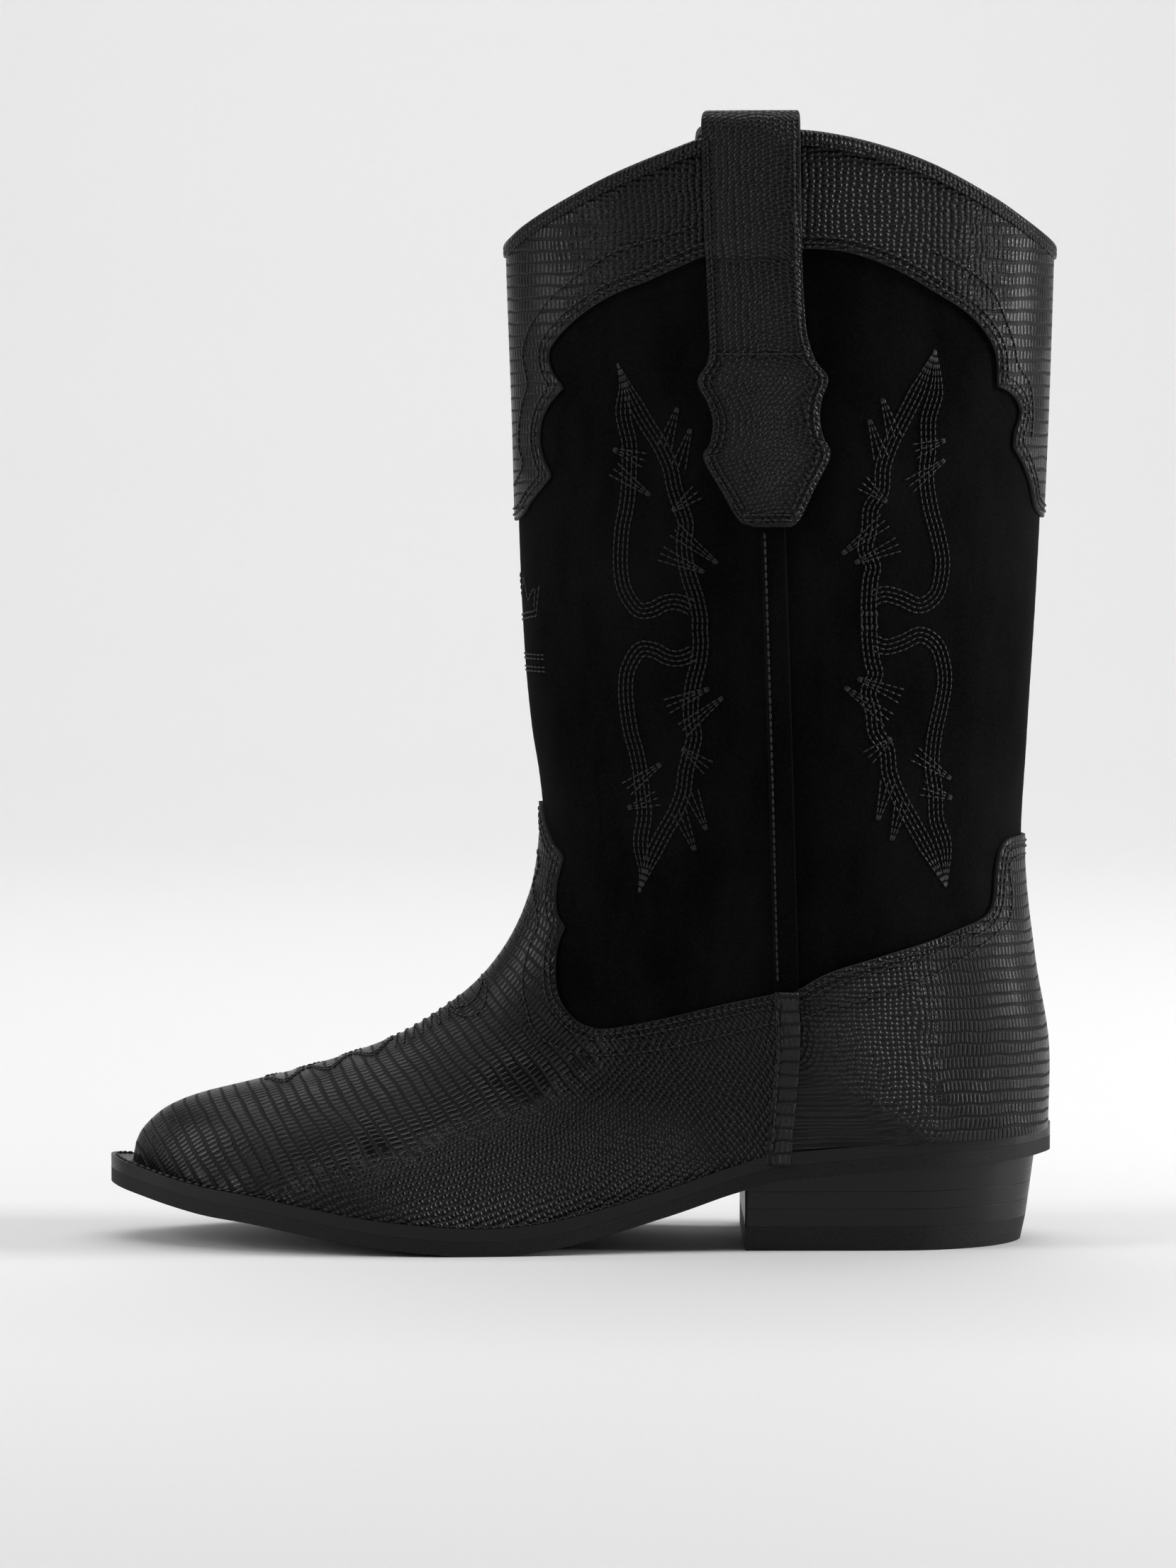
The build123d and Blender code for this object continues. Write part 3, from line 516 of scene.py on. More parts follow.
def speckled_rubber(name):
    """Black nitrile rubber with a ground edge: matte, with fine grey specks and sanding lines."""
    material, tree, shader = new_material(name)
    where = add(tree, "ShaderNodeTexCoord").outputs["Object"]
    specks = add(tree, "ShaderNodeTexNoise", Vector=where, Scale=2300.0, Detail=2.0)
    lines = add(tree, "ShaderNodeMapping", i0=where, Scale=(60.0, 60.0, 2200.0))
    sanding = add(tree, "ShaderNodeTexNoise", Vector=lines.outputs[0], Scale=1.0, Detail=3.0)
    ramp = add(tree, "ShaderNodeValToRGB", Fac=specks.outputs["Fac"])
    ramp.color_ramp.elements[0].position = 0.42
    ramp.color_ramp.elements[0].color = linear("#050505")
    ramp.color_ramp.elements[1].position = 0.72
    ramp.color_ramp.elements[1].color = linear("#1c1c1c")
    tree.links.new(ramp.outputs[0], shader.inputs["Base Color"])
    height = maths(tree, "ADD", specks.outputs["Fac"], sanding.outputs["Fac"])
    bump = add(tree, "ShaderNodeBump", Strength=0.45, Distance=0.0002, Height=height)
    tree.links.new(bump.outputs[0], shader.inputs["Normal"])
    shader.inputs["Roughness"].default_value = 0.68
    shader.inputs["Specular IOR Level"].default_value = 0.35
    return material


def waxed_edge(name, line_mm):
    """Edge of stacked leather board, dyed black and waxed: fine level lines and a satin shine."""
    material, tree, shader = new_material(name)
    where = add(tree, "ShaderNodeTexCoord").outputs["Object"]
    stretch = add(tree, "ShaderNodeMapping", i0=where, Scale=(9.0, 9.0, 1000.0 / line_mm))
    layers = add(tree, "ShaderNodeTexNoise", Vector=stretch.outputs[0], Scale=1.0, Detail=4.0,
                 Roughness=0.65)
    tone = add(tree, "ShaderNodeMix", {"data_type": "RGBA"}, i0=layers.outputs["Fac"],
               i6=linear("#020202"), i7=linear("#0b0b0b"))
    tree.links.new(tone.outputs[2], shader.inputs["Base Color"])
    bump = add(tree, "ShaderNodeBump", Strength=0.35, Distance=0.00015,
               Height=layers.outputs["Fac"])
    tree.links.new(bump.outputs[0], shader.inputs["Normal"])
    rough = add(tree, "ShaderNodeMapRange", Value=layers.outputs["Fac"], To_Min=0.3, To_Max=0.5)
    tree.links.new(rough.outputs[0], shader.inputs["Roughness"])
    shader.inputs["Specular IOR Level"].default_value = 0.32
    shader.inputs["Coat Weight"].default_value = 0.04
    shader.inputs["Coat Roughness"].default_value = 0.25
    return material


def grained_board(name, light, dark, grain_mm, rough=0.85):
    """Bonded board, cork or woven backing: small grains of two tones."""
    material, tree, shader = new_material(name)
    where = add(tree, "ShaderNodeTexCoord").outputs["Object"]
    grains = add(tree, "ShaderNodeTexVoronoi", Vector=where, Scale=1000.0 / grain_mm)
    tone = add(tree, "ShaderNodeMix", {"data_type": "RGBA"}, i0=grains.outputs["Distance"],
               i6=linear(light), i7=linear(dark))
    tree.links.new(tone.outputs[2], shader.inputs["Base Color"])
    bump = add(tree, "ShaderNodeBump", Strength=0.5, Distance=0.0002,
               Height=grains.outputs["Distance"])
    tree.links.new(bump.outputs[0], shader.inputs["Normal"])
    shader.inputs["Roughness"].default_value = rough
    return material


def spring_steel(name):
    """Tempered steel strip or wire, drawn: fine lines along it."""
    material, tree, shader = new_material(name)
    where = add(tree, "ShaderNodeTexCoord").outputs["Object"]
    drawn = add(tree, "ShaderNodeMapping", i0=where, Scale=(30.0, 3000.0, 3000.0))
    lines = add(tree, "ShaderNodeTexNoise", Vector=drawn.outputs[0], Scale=1.0, Detail=2.0)
    rough = add(tree, "ShaderNodeMapRange", Value=lines.outputs["Fac"], To_Min=0.25, To_Max=0.5)
    tree.links.new(rough.outputs[0], shader.inputs["Roughness"])
    shader.inputs["Base Color"].default_value = linear("#8d8f92")
    shader.inputs["Metallic"].default_value = 1.0
    return material


# ============================ lines on the form ================================================
def run_of(t):
    """Distance along the form at station numbers, in mm."""
    return np.interp(t, np.arange(STATIONS + 1), RUN)


def t_of(run):
    """Station numbers at distances along the form."""
    return np.interp(run, RUN, np.arange(STATIONS + 1))


def half_line(points, centre, step=None, count=None):
    """An outer-side outline as evenly spaced (station, turn), ending on the centre line, which is
    pi for the front ridge and 0 for the back."""
    fine = spaced(points, 0.2)
    line = locate(fine[:, 0], fine[:, 1])
    there = np.abs(line[:, 1] - centre) < 1e-4
    if there.any():
        line = line[:int(np.argmax(there)) + 1]
    line[-1, 1] = centre
    here = place(line[:, 0], line[:, 1], OUTER)
    run = np.r_[0, np.cumsum(np.linalg.norm(np.diff(here, axis=0), axis=1))]
    if count is None:
        count = int(round(run[-1] / step)) + 1
    at = np.linspace(0, run[-1], count)
    return np.stack([t_of(np.interp(at, run, run_of(line[:, 0]))),
                     np.interp(at, run, line[:, 1])], 1)


ARC_ROWS = np.linspace(0, STATIONS, STATIONS * 20 + 1)
ARC_STEPS = 360


def arc_tables(centre):
    """For each station: distance round the section against turn, and turn against the share of
    half the way round.  Both start at a centre line, the front ridge or the back."""
    turn = centre + np.linspace(-math.pi, math.pi, ARC_STEPS + 1)
    points = place(ARC_ROWS[:, None], turn[None], OUTER)
    step = np.linalg.norm(np.diff(points, axis=1), axis=2)
    run = np.concatenate([np.zeros((len(ARC_ROWS), 1)), np.cumsum(step, axis=1)], axis=1)
    run -= run[:, ARC_STEPS // 2:ARC_STEPS // 2 + 1]
    half = run[:, -1]
    share = np.linspace(-1, 1, ARC_STEPS + 1)
    back = np.stack([np.interp(share * h, r, turn) for h, r in zip(half, run)])
    return run, back, half


ARCS = {centre: arc_tables(centre) for centre in (0.0, math.pi)}


def lookup(table, row, column):
    """Value of a table between its rows and columns."""
    row = np.clip(row, 0, table.shape[0] - 1.0001)
    column = np.clip(column, 0, table.shape[1] - 1.0001)
    i, j = row.astype(int), column.astype(int)
    p, q = row - i, column - j
    return ((table[i, j] * (1 - q) + table[i, j + 1] * q) * (1 - p)
            + (table[i + 1, j] * (1 - q) + table[i + 1, j + 1] * q) * p)


def arc_of(t, turn, centre):
    """Distance in mm round the section from a centre line; negative on one side."""
    run, _, _ = ARCS[centre]
    return lookup(run, t * 20, (turn - centre + math.pi) / (2 * math.pi) * ARC_STEPS)


def turn_of(t, arc, centre):
    """Turn at a distance round the section from a centre line."""
    _, back, half = ARCS[centre]
    share = arc / np.interp(t, ARC_ROWS, half)
    return lookup(back, t * 20, (share + 1) / 2 * ARC_STEPS)


def flatten(line, centre):
    """A line on the form as pattern distances (round from the centre line, along the form)."""
    return np.stack([arc_of(line[:, 0], line[:, 1], centre), run_of(line[:, 0])], 1)


def raise_up(flat, centre):
    """Pattern distances back to (station, turn)."""
    t = t_of(flat[:, 1])
    return np.stack([t, turn_of(t, flat[:, 0], centre)], 1)


def inside(outline, points):
    """Which points lie inside a closed outline."""
    x, y = points[:, 0][:, None], points[:, 1][:, None]
    x0, y0 = outline[:, 0], outline[:, 1]
    x1, y1 = np.roll(x0, -1), np.roll(y0, -1)
    crosses = (y0 > y) != (y1 > y)
    at = x0 + (y - y0) * (x1 - x0) / np.where(y1 == y0, 1e-9, y1 - y0)
    return (crosses & (x < at)).sum(1) % 2 == 1


def frame_at(line, grow):
    """Points of a line on the form with its outward normals and its two surface directions."""
    t, turn = line[:, 0], line[:, 1]
    point = place(t, turn, grow)
    by_t = (place(t + 0.01, turn, grow) - place(t - 0.01, turn, grow)) / 0.02
    by_turn = (place(t, turn + 0.01, grow) - place(t, turn - 0.01, grow)) / 0.02
    normal = np.cross(by_t, by_turn)
    away = place(t, turn, grow + 0.5) - point
    normal *= np.sign((normal * away).sum(-1, keepdims=True))
    normal /= np.linalg.norm(normal, axis=-1, keepdims=True) + 1e-12
    return point, normal, by_t, by_turn


def tangents(points):
    """Unit directions along a polyline."""
    way = np.gradient(points, axis=0)
    return way / (np.linalg.norm(way, axis=1, keepdims=True) + 1e-12)


def offset_line(line, distance, grow, trim=True):
    """A line beside another one on the form, at a distance in mm; positive is to the right."""
    point, normal, by_t, by_turn = frame_at(line, grow)
    aside = np.cross(tangents(point), normal)
    target = point + aside * distance
    moved = line.copy()
    for _ in range(3):
        here, _, by_t, by_turn = frame_at(moved, grow)
        gap = target - here
        a, b, c = (by_t * by_t).sum(1), (by_t * by_turn).sum(1), (by_turn * by_turn).sum(1)
        p, q = (gap * by_t).sum(1), (gap * by_turn).sum(1)
        det = a * c - b * b + 1e-9
        moved[:, 0] = np.clip(moved[:, 0] + np.clip((p * c - q * b) / det, -0.4, 0.4),
                              0.02, STATIONS - 0.02)
        moved[:, 1] += np.clip((q * a - p * b) / det, -0.2, 0.2)
    if trim:
        here = place(moved[:, 0], moved[:, 1], grow)
        near = np.linalg.norm(here[:, None] - point[None], axis=2).min(1)
        moved = moved[near > abs(distance) - 0.2]
    return moved


def level_t(turn, height, grow, start):
    """Stations at which the form reaches given heights, at given turns."""
    t = start.copy()
    for _ in range(8):
        here = place(t, turn, grow)[:, 2]
        slope = (place(t + 0.01, turn, grow)[:, 2] - here) / 0.01
        t = np.clip(t + (height - here) / slope, 0, STATIONS)
    return t


# ============================ pieces on the form ===============================================
def mirrored(flat):
    """A flat line to the centre line, and its mirror image back on the other side."""
    flat = flat.copy()
    flat[-1, 0] = 0.0
    return np.vstack([flat, flat[-2::-1] * (-1, 1)])


def panel(name, lower, upper, side, centre, grow, thickness, cell, uv_of, materials,
          replaced=(), edge=0.35):
    """A cut sheet of leather on the form.  lower, upper and side are lines on the outer side; the
    sheet runs over the centre line to the same lines on the inner side."""
    low, high, flank = (flatten(line, centre) for line in (lower, upper, side))
    outline = np.vstack([mirrored(low), (flank * (-1, 1))[1:-1], mirrored(high)[::-1],
                         flank[::-1][1:-1]])
    left, bottom = outline.min(0)
    right, top = outline.max(0)
    across, along = np.meshgrid(np.arange(left, right, cell), np.arange(bottom, top, cell * 0.87))
    across[1::2] += cell / 2
    inner = np.stack([across.ravel(), along.ravel()], 1)
    inner = inner[inside(outline, inner)]
    far = np.ones(len(inner), bool)
    for spot in outline:
        far &= ((inner - spot) ** 2).sum(1) > (0.6 * cell) ** 2
    inner = inner[far]
    count = len(outline)
    loop = [(k, (k + 1) % count) for k in range(count)]
    spots, _, faces, _, _, _ = delaunay_2d_cdt(
        [Vector(p) for p in np.vstack([outline, inner])], loop, [], 1, 1e-5)
    flat = np.array([tuple(p) for p in spots])
    line = raise_up(flat, centre)
    points = place(line[:, 0], line[:, 1], grow)
    outer = place(line[:, 0], line[:, 1], grow + 1.0)
    uv = uv_of(flat, points)
    first = np.array(faces[len(faces) // 2])
    facing = np.cross(points[first[1]] - points[first[0]], points[first[2]] - points[first[0]])
    turned = facing.dot(outer[first[0]] - points[first[0]]) < 0
    bm = bmesh.new()
    layer = bm.loops.layers.uv.new("pattern")
    corners = [bm.verts.new(Vector(p) * MM) for p in points]
    for face in faces:
        sheet = bm.faces.new([corners[k] for k in (face[::-1] if turned else face)])
        for corner, k in zip(sheet.loops, face[::-1] if turned else face):
            corner[layer].uv = (uv[k, 0] * MM, uv[k, 1] * MM)
    piece = finish_mesh(name, bm)
    leather_sheet(piece, thickness, edge)
    attach(piece, materials, replaced)
    return outline


def rounded_strip(width, low, high, radius, count):
    """Closed section of a strip as (distance across, height): a rectangle with round corners."""
    corner = np.linspace(0, math.pi / 2, 5)
    flat = np.linspace(radius, width - radius, count)
    points = [(x, high) for x in flat]
    points += [(width - radius + radius * math.sin(a), high - radius + radius * math.cos(a))
               for a in corner[1:]]
    points += [(width - radius + radius * math.cos(a), low + radius - radius * math.sin(a))
               for a in corner]
    points += [(x, low) for x in flat[::-1][1:]]
    points += [(radius - radius * math.sin(a), low + radius - radius * math.cos(a))
               for a in corner[1:]]
    points += [(radius - radius * math.cos(a), high - radius + radius * math.sin(a))
               for a in corner]
    return np.array(points)


def swept(name, points, uv, materials, replaced=()):
    """A closed strip from rows of section points."""
    piece = grid_piece(name, points, uv, loop=True)
    return attach(piece, materials, replaced)


def section_uv(points):
    """Across and along distances of a swept strip in mm."""
    across = np.zeros(points.shape[:2])
    across[1:] = np.cumsum(np.linalg.norm(np.diff(points, axis=0), axis=2), axis=0)
    along = np.zeros(points.shape[:2])
    along[:, 1:] = np.cumsum(np.linalg.norm(np.diff(points, axis=1), axis=2), axis=1)
    return np.stack([across, along], -1)


# ============================ stitches =========================================================
THREAD = 0.34            # radius of the sewing thread (mm)
BINDING_GROOVE = 1.72    # how far the floor of the binding's stitch groove stands out (mm)


def stitch_template(length, radius):
    """One stitch: a short thread lying on the leather, its ends dipping into it."""
    bm = bmesh.new()
    bmesh.ops.create_cone(bm, cap_ends=True, segments=6, radius1=radius * MM,
                          radius2=radius * MM, depth=length * MM,
                          matrix=Matrix.Rotation(math.pi / 2, 4, "Y"))
    sides = [edge for edge in bm.edges if abs(edge.verts[0].co.x - edge.verts[1].co.x) > 1e-6]
    bmesh.ops.subdivide_edges(bm, edges=sides, cuts=3)
    half = length * MM / 2
    for vert in bm.verts:
        way = abs(vert.co.x) / half
        full = 1.0 - 0.55 * way ** 3
        vert.co.y *= full
        vert.co.z = vert.co.z * full - 0.42 * radius * MM * way ** 2
    mesh = bpy.data.meshes.new("stitch")
    bm.to_mesh(mesh)
    bm.free()
    return mesh


def on_form(line, grow):
    """Points and outward normals of a line on the form."""
    return frame_at(line, grow)[:2]


def sew(name, rows, material, pitch=2.1, radius=THREAD, sink=0.05):
    """Stitches along rows given as (points, normals)."""
    bm = bmesh.new()
    template = stitch_template(pitch * 0.9, radius)
    still = np.empty(len(template.vertices) * 3, np.float32)
    template.vertices.foreach_get("co", still)
    for point, normal in rows:
        if len(point) < 3:
            continue
        run = np.r_[0, np.cumsum(np.linalg.norm(np.diff(point, axis=0), axis=1))]
        count = int(run[-1] / pitch)
        if count < 1:
            continue
        at = (np.arange(count) + 0.5) * run[-1] / count
        ahead = [np.interp(at + pitch * 0.4, run, point[:, k]) for k in range(3)]
        behind = [np.interp(at - pitch * 0.4, run, point[:, k]) for k in range(3)]
        centre = [np.interp(at, run, point[:, k]) for k in range(3)]
        up = [np.interp(at, run, normal[:, k]) for k in range(3)]
        for c, f, b, n in zip(zip(*centre), zip(*ahead), zip(*behind), zip(*up)):
            x = Vector(f) - Vector(b)
            if x.length < pitch * 0.3:
                continue
            x.normalize()
            z = Vector(n).normalized()
            y = z.cross(x).normalized()
            z = x.cross(y)
            spot = (Vector(c) + z * (radius * 0.55 - sink)) * MM
            turn = Matrix((x, y, z)).transposed().to_4x4()
            template.vertices.foreach_set("co", still)
            template.transform(Matrix.Translation(spot) @ turn)
            bm.from_mesh(template)
    piece = finish_mesh(name, bm)
    return attach(piece, [material])


# ============================ finishes =========================================================
VAMP_LEATHER = lizard_calf("black_lizard_calf_vamp", row=3.8, rib=1.5, bead=1.9, flank=(46, 66))
COUNTER_LEATHER = lizard_calf("black_lizard_calf_counter", row=3.5, rib=1.5, bead=2.0,
                              flank=(52, 72))
COLLAR_LEATHER = lizard_calf("black_lizard_calf_collar", row=3.5, rib=1.5, bead=2.0,
                             flank=(30, 62))
STRAP_LEATHER = lizard_calf("black_lizard_calf_strap", row=4.2, rib=1.5, bead=1.9,
                            flank=(-20, -10))
RAW_EDGE = cut_edge("raw_leather_edge")
SUEDE_LEATHER = suede_material("black_calf_suede")
BINDING_LEATHER = lizard_calf("black_lizard_calf_binding", row=4.0, rib=1.5, bead=1.9,
                              flank=(-20, -10))
THREAD_BLACK = waxed_thread("black_waxed_thread", "#0c0c0c")
WELT_LEATHER = waxed_edge("black_waxed_welt_leather", 1.1)
RUBBER = speckled_rubber("black_speckled_rubber")
HEEL_LEATHER = waxed_edge("black_waxed_heel_leather", 0.9)
LINING_LEATHER = plain_leather("tan_pigskin_lining", "#b08a62", "#8a6844", 0.6, 0.9, depth=0.4,
                               specular=0.35)
SOCK_LEATHER = plain_leather("tan_sock_leather", "#a67f56", "#84623f", 0.55, 1.1, depth=0.4)
INSOLE_BOARD = grained_board("brown_insole_board", "#8b6a48", "#6d5137", 0.6)
STIFFENER = grained_board("grey_stiffener_board", "#8d8a84", "#6f6c66", 0.5)
BACKING = grained_board("white_backing_cloth", "#cfcac0", "#a8a398", 0.4)
CORK = grained_board("cork_filler", "#a37a4c", "#5f4226", 1.8)
STEEL = spring_steel("tempered_steel")

for node, material in (("shaft_lining_front", LINING_LEATHER),
                       ("shaft_lining_back", LINING_LEATHER),
                       ("vamp_lining", LINING_LEATHER), ("counter_lining", LINING_LEATHER),
                       ("sock_liner", SOCK_LEATHER), ("insole", INSOLE_BOARD),
                       ("toe_puff", STIFFENER), ("heel_stiffener", STIFFENER),
                       ("vamp_backing", BACKING), ("bottom_filler", CORK), ("shank", STEEL),
                       ("heel_nails", STEEL)):
    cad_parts[node].data.materials.clear()
    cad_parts[node].data.materials.append(material)

# ============================ leather panels ===================================================
STEP = 1.2               # distance between points on a cut edge (mm)


def leg_uv(flat, points):
    """Pattern distances: round the section from the centre line, and up the leg."""
    return np.stack([flat[:, 0], points[:, 2]], 1)


def vamp_uv(flat, points):
    """Pattern distances on the vamp: across from the ridge, and back along the foot."""
    x, z = points[:, 0], points[:, 2]
    return np.stack([flat[:, 0], (x + 0.45 * z + 0.004 * z * z) / 1.2], 1)


def seam_x(z, back=0.0):
    """Side seam's place at a height, moved towards the toe by a distance."""
    line = np.array(SEAM)[::-1]
    return np.interp(z, line[:, 1], line[:, 0]) - back


def feather(x0, x1, drop=0.6):
    """Line where the upper meets the sole, between two places along it."""
    xs = np.linspace(x0, x1, 600)
    return np.stack([xs, sole_height(xs) - drop], 1)


def toe_end(drop=0.6):
    """Where the sole's top meets the ridge at the toe."""
    t = np.linspace(0, 1.5, 301)
    ridge = place(t, math.pi, OUTER)
    gap = ridge[:, 2] - (sole_height(ridge[:, 0]) - drop)
    k = int(np.argmax(gap > 0))
    return ridge[k, 0], ridge[k, 2]


def beside_seam(z_low, z_high, back_low, back_high):
    """Cut edge just ahead of the side seam, from low to high."""
    zs = np.linspace(z_low, z_high, max(3, int((z_high - z_low) / 2)))
    return locate(seam_x(zs) - np.linspace(back_low, back_high, len(zs)), zs)


# vamp: from the seam forward round the toe
tip = toe_end()
vamp_edge = half_line(np.vstack([[[59.9, 74.9]], chain(VAMP_EDGE, 0.3)[8:]]), math.pi, step=STEP)
foot = np.vstack([feather(57.2, tip[0] + 0.02), [tip]])
vamp_foot = half_line(foot, math.pi, step=STEP)
vamp_sheet = panel("vamp_leather", vamp_foot, vamp_edge, beside_seam(27.4, 74.9, 3.0, 3.0),
                   math.pi, OUTER, OUTER, 2.2, vamp_uv,
                   [VAMP_LEATHER, RAW_EDGE], ["vamp"])

# counter: from the seam back round the heel
counter_edge = half_line(np.vstack([[[59.4, 75.2]], chain(COUNTER_EDGE, 0.3)]), 0.0, step=STEP)
counter_foot = half_line(feather(56.6, 136.4), 0.0, step=STEP)
counter_sheet = panel("counter_leather", counter_foot, counter_edge,
                      beside_seam(27.4, 75.2, 3.4, 3.4), 0.0, OUTER, OUTER, 2.2, leg_uv,
                      [COUNTER_LEATHER, RAW_EDGE], ["counter_cover"])

# collars: from the straps round the front and the back of the top
top_front = chain([TOPLINE_FRONT], 0.3)
top_back = chain([TOPLINE_BACK], 0.3)
front_edge = half_line(chain(COLLAR_FRONT_EDGE, 0.3), math.pi, step=STEP)
back_edge = half_line(chain(COLLAR_BACK_EDGE, 0.3), 0.0, step=STEP)
join = locate(np.full(18, 54.0), np.linspace(285.0, 319.3, 18))
front_sheet = panel("collar_front_leather", front_edge,
                    half_line(top_front - (0, 1.2), math.pi, step=STEP), join, math.pi, OUTER,
                    OUTER, 2.2, leg_uv, [COLLAR_LEATHER, RAW_EDGE],
                    ["collar_front"])
back_sheet = panel("collar_back_leather", back_edge,
                   half_line(top_back - (0, 1.2), 0.0, step=STEP), join, 0.0, OUTER,
                   OUTER, 2.2, leg_uv, [COLLAR_LEATHER, RAW_EDGE],
                   ["collar_back"])

# suede of the leg, ending under the leather
low = half_line(chain(SUEDE_FRONT_EDGE, 0.3), math.pi, step=2.2)
high = np.vstack([[[49.2, 318.0]], (top_front - (0, 2.0))[top_front[:, 0] < 48.0]])
panel("shaft_front_suede", low, half_line(high, math.pi, step=2.2),
      beside_seam(66.0, 318.0, 5.0, 4.0), math.pi, 0.0, SUEDE, 3.0, leg_uv,
      [SUEDE_LEATHER, RAW_EDGE], ["shaft_front"])
low = half_line(chain(SUEDE_BACK_EDGE, 0.3), 0.0, step=2.2)
high = np.vstack([[[49.2, 318.0]], top_back - (0, 2.0)])
panel("shaft_back_suede", low, half_line(high, 0.0, step=2.2),
      beside_seam(66.0, 318.0, 5.0, 4.0), 0.0, 0.0, SUEDE, 3.0, leg_uv,
      [SUEDE_LEATHER, RAW_EDGE], ["shaft_back"])


# ============================ side seams =======================================================
def seam_fold(name, z_low, z_high, width, low, high, materials, side):
    """Edge of the front half folded over and laid on the back half, along the side seam."""
    zs = np.arange(z_low, z_high + 0.1, 1.5)
    section = rounded_strip(width, low, high, 0.55, 7)
    back = width - section[:, 0]
    xs = np.array([seam_x(zs, b) for b in back])
    spots = locate(xs.ravel(), np.tile(zs, len(section)))
    turn = spots[:, 1] if side < 0 else 2 * math.pi - spots[:, 1]
    grow = np.repeat(section[:, 1], len(zs))
    # the front edge of the fold runs down into the leather
    ease = np.clip(section[:, 0] / 1.6, 0, 1)
    sunk = np.where(section[:, 1] > low + 0.3, (1 - ease) * 0.8, 0.0)
    grow = grow - np.repeat(sunk, len(zs))
    points = place(spots[:, 0], turn, grow).reshape(len(section), len(zs), 3)
    if side > 0:
        points = points[::-1]
    swept(name, points, section_uv(points), materials)


for side, word in ((-1, "outer"), (1, "inner")):
    seam_fold("vamp_fold_" + word, 25.5, 75.6, 7.0, OUTER, 2 * OUTER,
              [VAMP_LEATHER], side)
    seam_fold("shaft_fold_" + word, 74.0, 212.0, 7.0, 0.0, OUTER, [SUEDE_LEATHER], side)


# ============================ topline binding ==================================================
def binding(name, top, across, centre, node):
    """Thin leather folded over the raw top edges and sewn down."""
    line = across(half_line(top, centre, step=1.3))
    points = place(line[:, 0], line[:, 1], 0.0)
    step = np.linalg.norm(np.diff(points, axis=0), axis=1)
    run = np.r_[0, np.cumsum(step)]
    at = np.linspace(0, run[-1], int(run[-1] / 1.3))
    turn = np.interp(at, run, line[:, 1])
    height = np.interp(at, run, points[:, 2])
    start = np.interp(at, run, line[:, 0])
    section = [(1.30, 4.6), (1.62, 4.55), (1.98, 4.2), (2.0, 3.6), (1.72, 3.15), (2.0, 2.7),
               (2.02, 1.8), (1.9, 1.0), (1.5, 0.4), (0.8, 0.08), (-0.5, 0.0), (-1.8, 0.05),
               (-2.6, 0.4), (-3.02, 1.0), (-3.1, 1.8), (-3.1, 3.8), (-2.95, 4.35), (-2.4, 4.6),
               (-2.4, 1.4), (-1.4, 0.9), (0.6, 0.9), (1.30, 1.5), (1.30, 4.6)]
    rows = []
    for grow, drop in section:
        t = level_t(turn, height - drop, 0.0, start)
        rows.append(place(t, turn, grow))
    points = np.stack(rows)
    uv = section_uv(points)
    swept(name, points, uv, [BINDING_LEATHER], [node])
    groove = np.stack([level_t(turn, height - 3.15, 0.0, start), turn], 1)
    return groove


# the two halves of the binding meet under the pull straps
seam_top = [53.0, 320.5]
groove_front = binding("topline_binding_front_leather",
                       np.vstack([[seam_top], top_front[top_front[:, 0] < 52.4]]), across_ridge,
                       math.pi, "topline_binding_front")
groove_back = binding("topline_binding_back_leather",
                      np.vstack([[seam_top], top_back[top_back[:, 0] > 53.6]]), across_back,
                      0.0, "topline_binding_back")


# ============================ pull straps ======================================================
def strap_route():
    """Middle line of the strap as (grow, height), up the outside, over the top, down inside."""
    half = STRAP / 2
    up = [(half, 208.2), (half, 280.0), (half + 0.4, 284.0), (half + 1.2, 289.0),
          (half + 1.5, 296.0), (half + 1.9, 306.0), (half + 2.2, 317.0), (half + 2.15, 321.0)]
    over = [(half + 1.9, 322.4), (half + 1.0, 323.6), (0.4, 324.2), (-1.0, 324.3), (-2.6, 323.9),
            (-3.7, 322.8), (-4.3, 321.2)]
    down = [(-4.4, 317.0), (-4.4, 306.0), (-4.4, 290.0), (-4.3, 266.0), (-3.9, 258.0),
            (-3.75, 246.5)]
    return smooth(up + over + down, 0.9)


def strap_sides(route):
    """Left and right x of the strap along its route."""
    left, right = smooth(PATCH_LEFT[2:], 1.0), smooth(PATCH_RIGHT[2:], 1.0)
    foot_left, foot_right = smooth(PATCH_LEFT[:3], 0.5), smooth(PATCH_RIGHT[:3], 0.5)
    left = np.vstack([foot_left, left[1:]])
    right = np.vstack([foot_right, right[1:]])
    z = route[:, 1]
    xl = np.interp(z, left[:, 1], left[:, 0])
    xr = np.interp(z, right[:, 1], right[:, 0])
    turned = np.arange(len(z)) > int(np.argmax(z))
    xl[turned], xr[turned] = 35.35, 61.85
    return xl, xr


def pull_strap(name, side, node):
    """Doubled strap over the topline, its outer end cut to a shaped patch."""
    route = strap_route()
    way = tangents(route)
    out = np.stack([way[:, 1], -way[:, 0]], 1)
    xl, xr = strap_sides(route)
    columns = []
    for k in range(len(route)):
        section = rounded_strip(xr[k] - xl[k], -STRAP / 2, STRAP / 2, 0.6, 12)
        grow = route[k, 0] + out[k, 0] * section[:, 1]
        height = route[k, 1] + out[k, 1] * section[:, 1]
        spots = locate(xl[k] + section[:, 0], height)
        turn = spots[:, 1] if side < 0 else 2 * math.pi - spots[:, 1]
        columns.append(place(spots[:, 0], turn, grow))
    points = np.stack(columns, 1)
    uv = section_uv(points)
    if side > 0:
        points, uv = points[::-1], uv[::-1]
    swept(name, points, uv, [STRAP_LEATHER], [node])


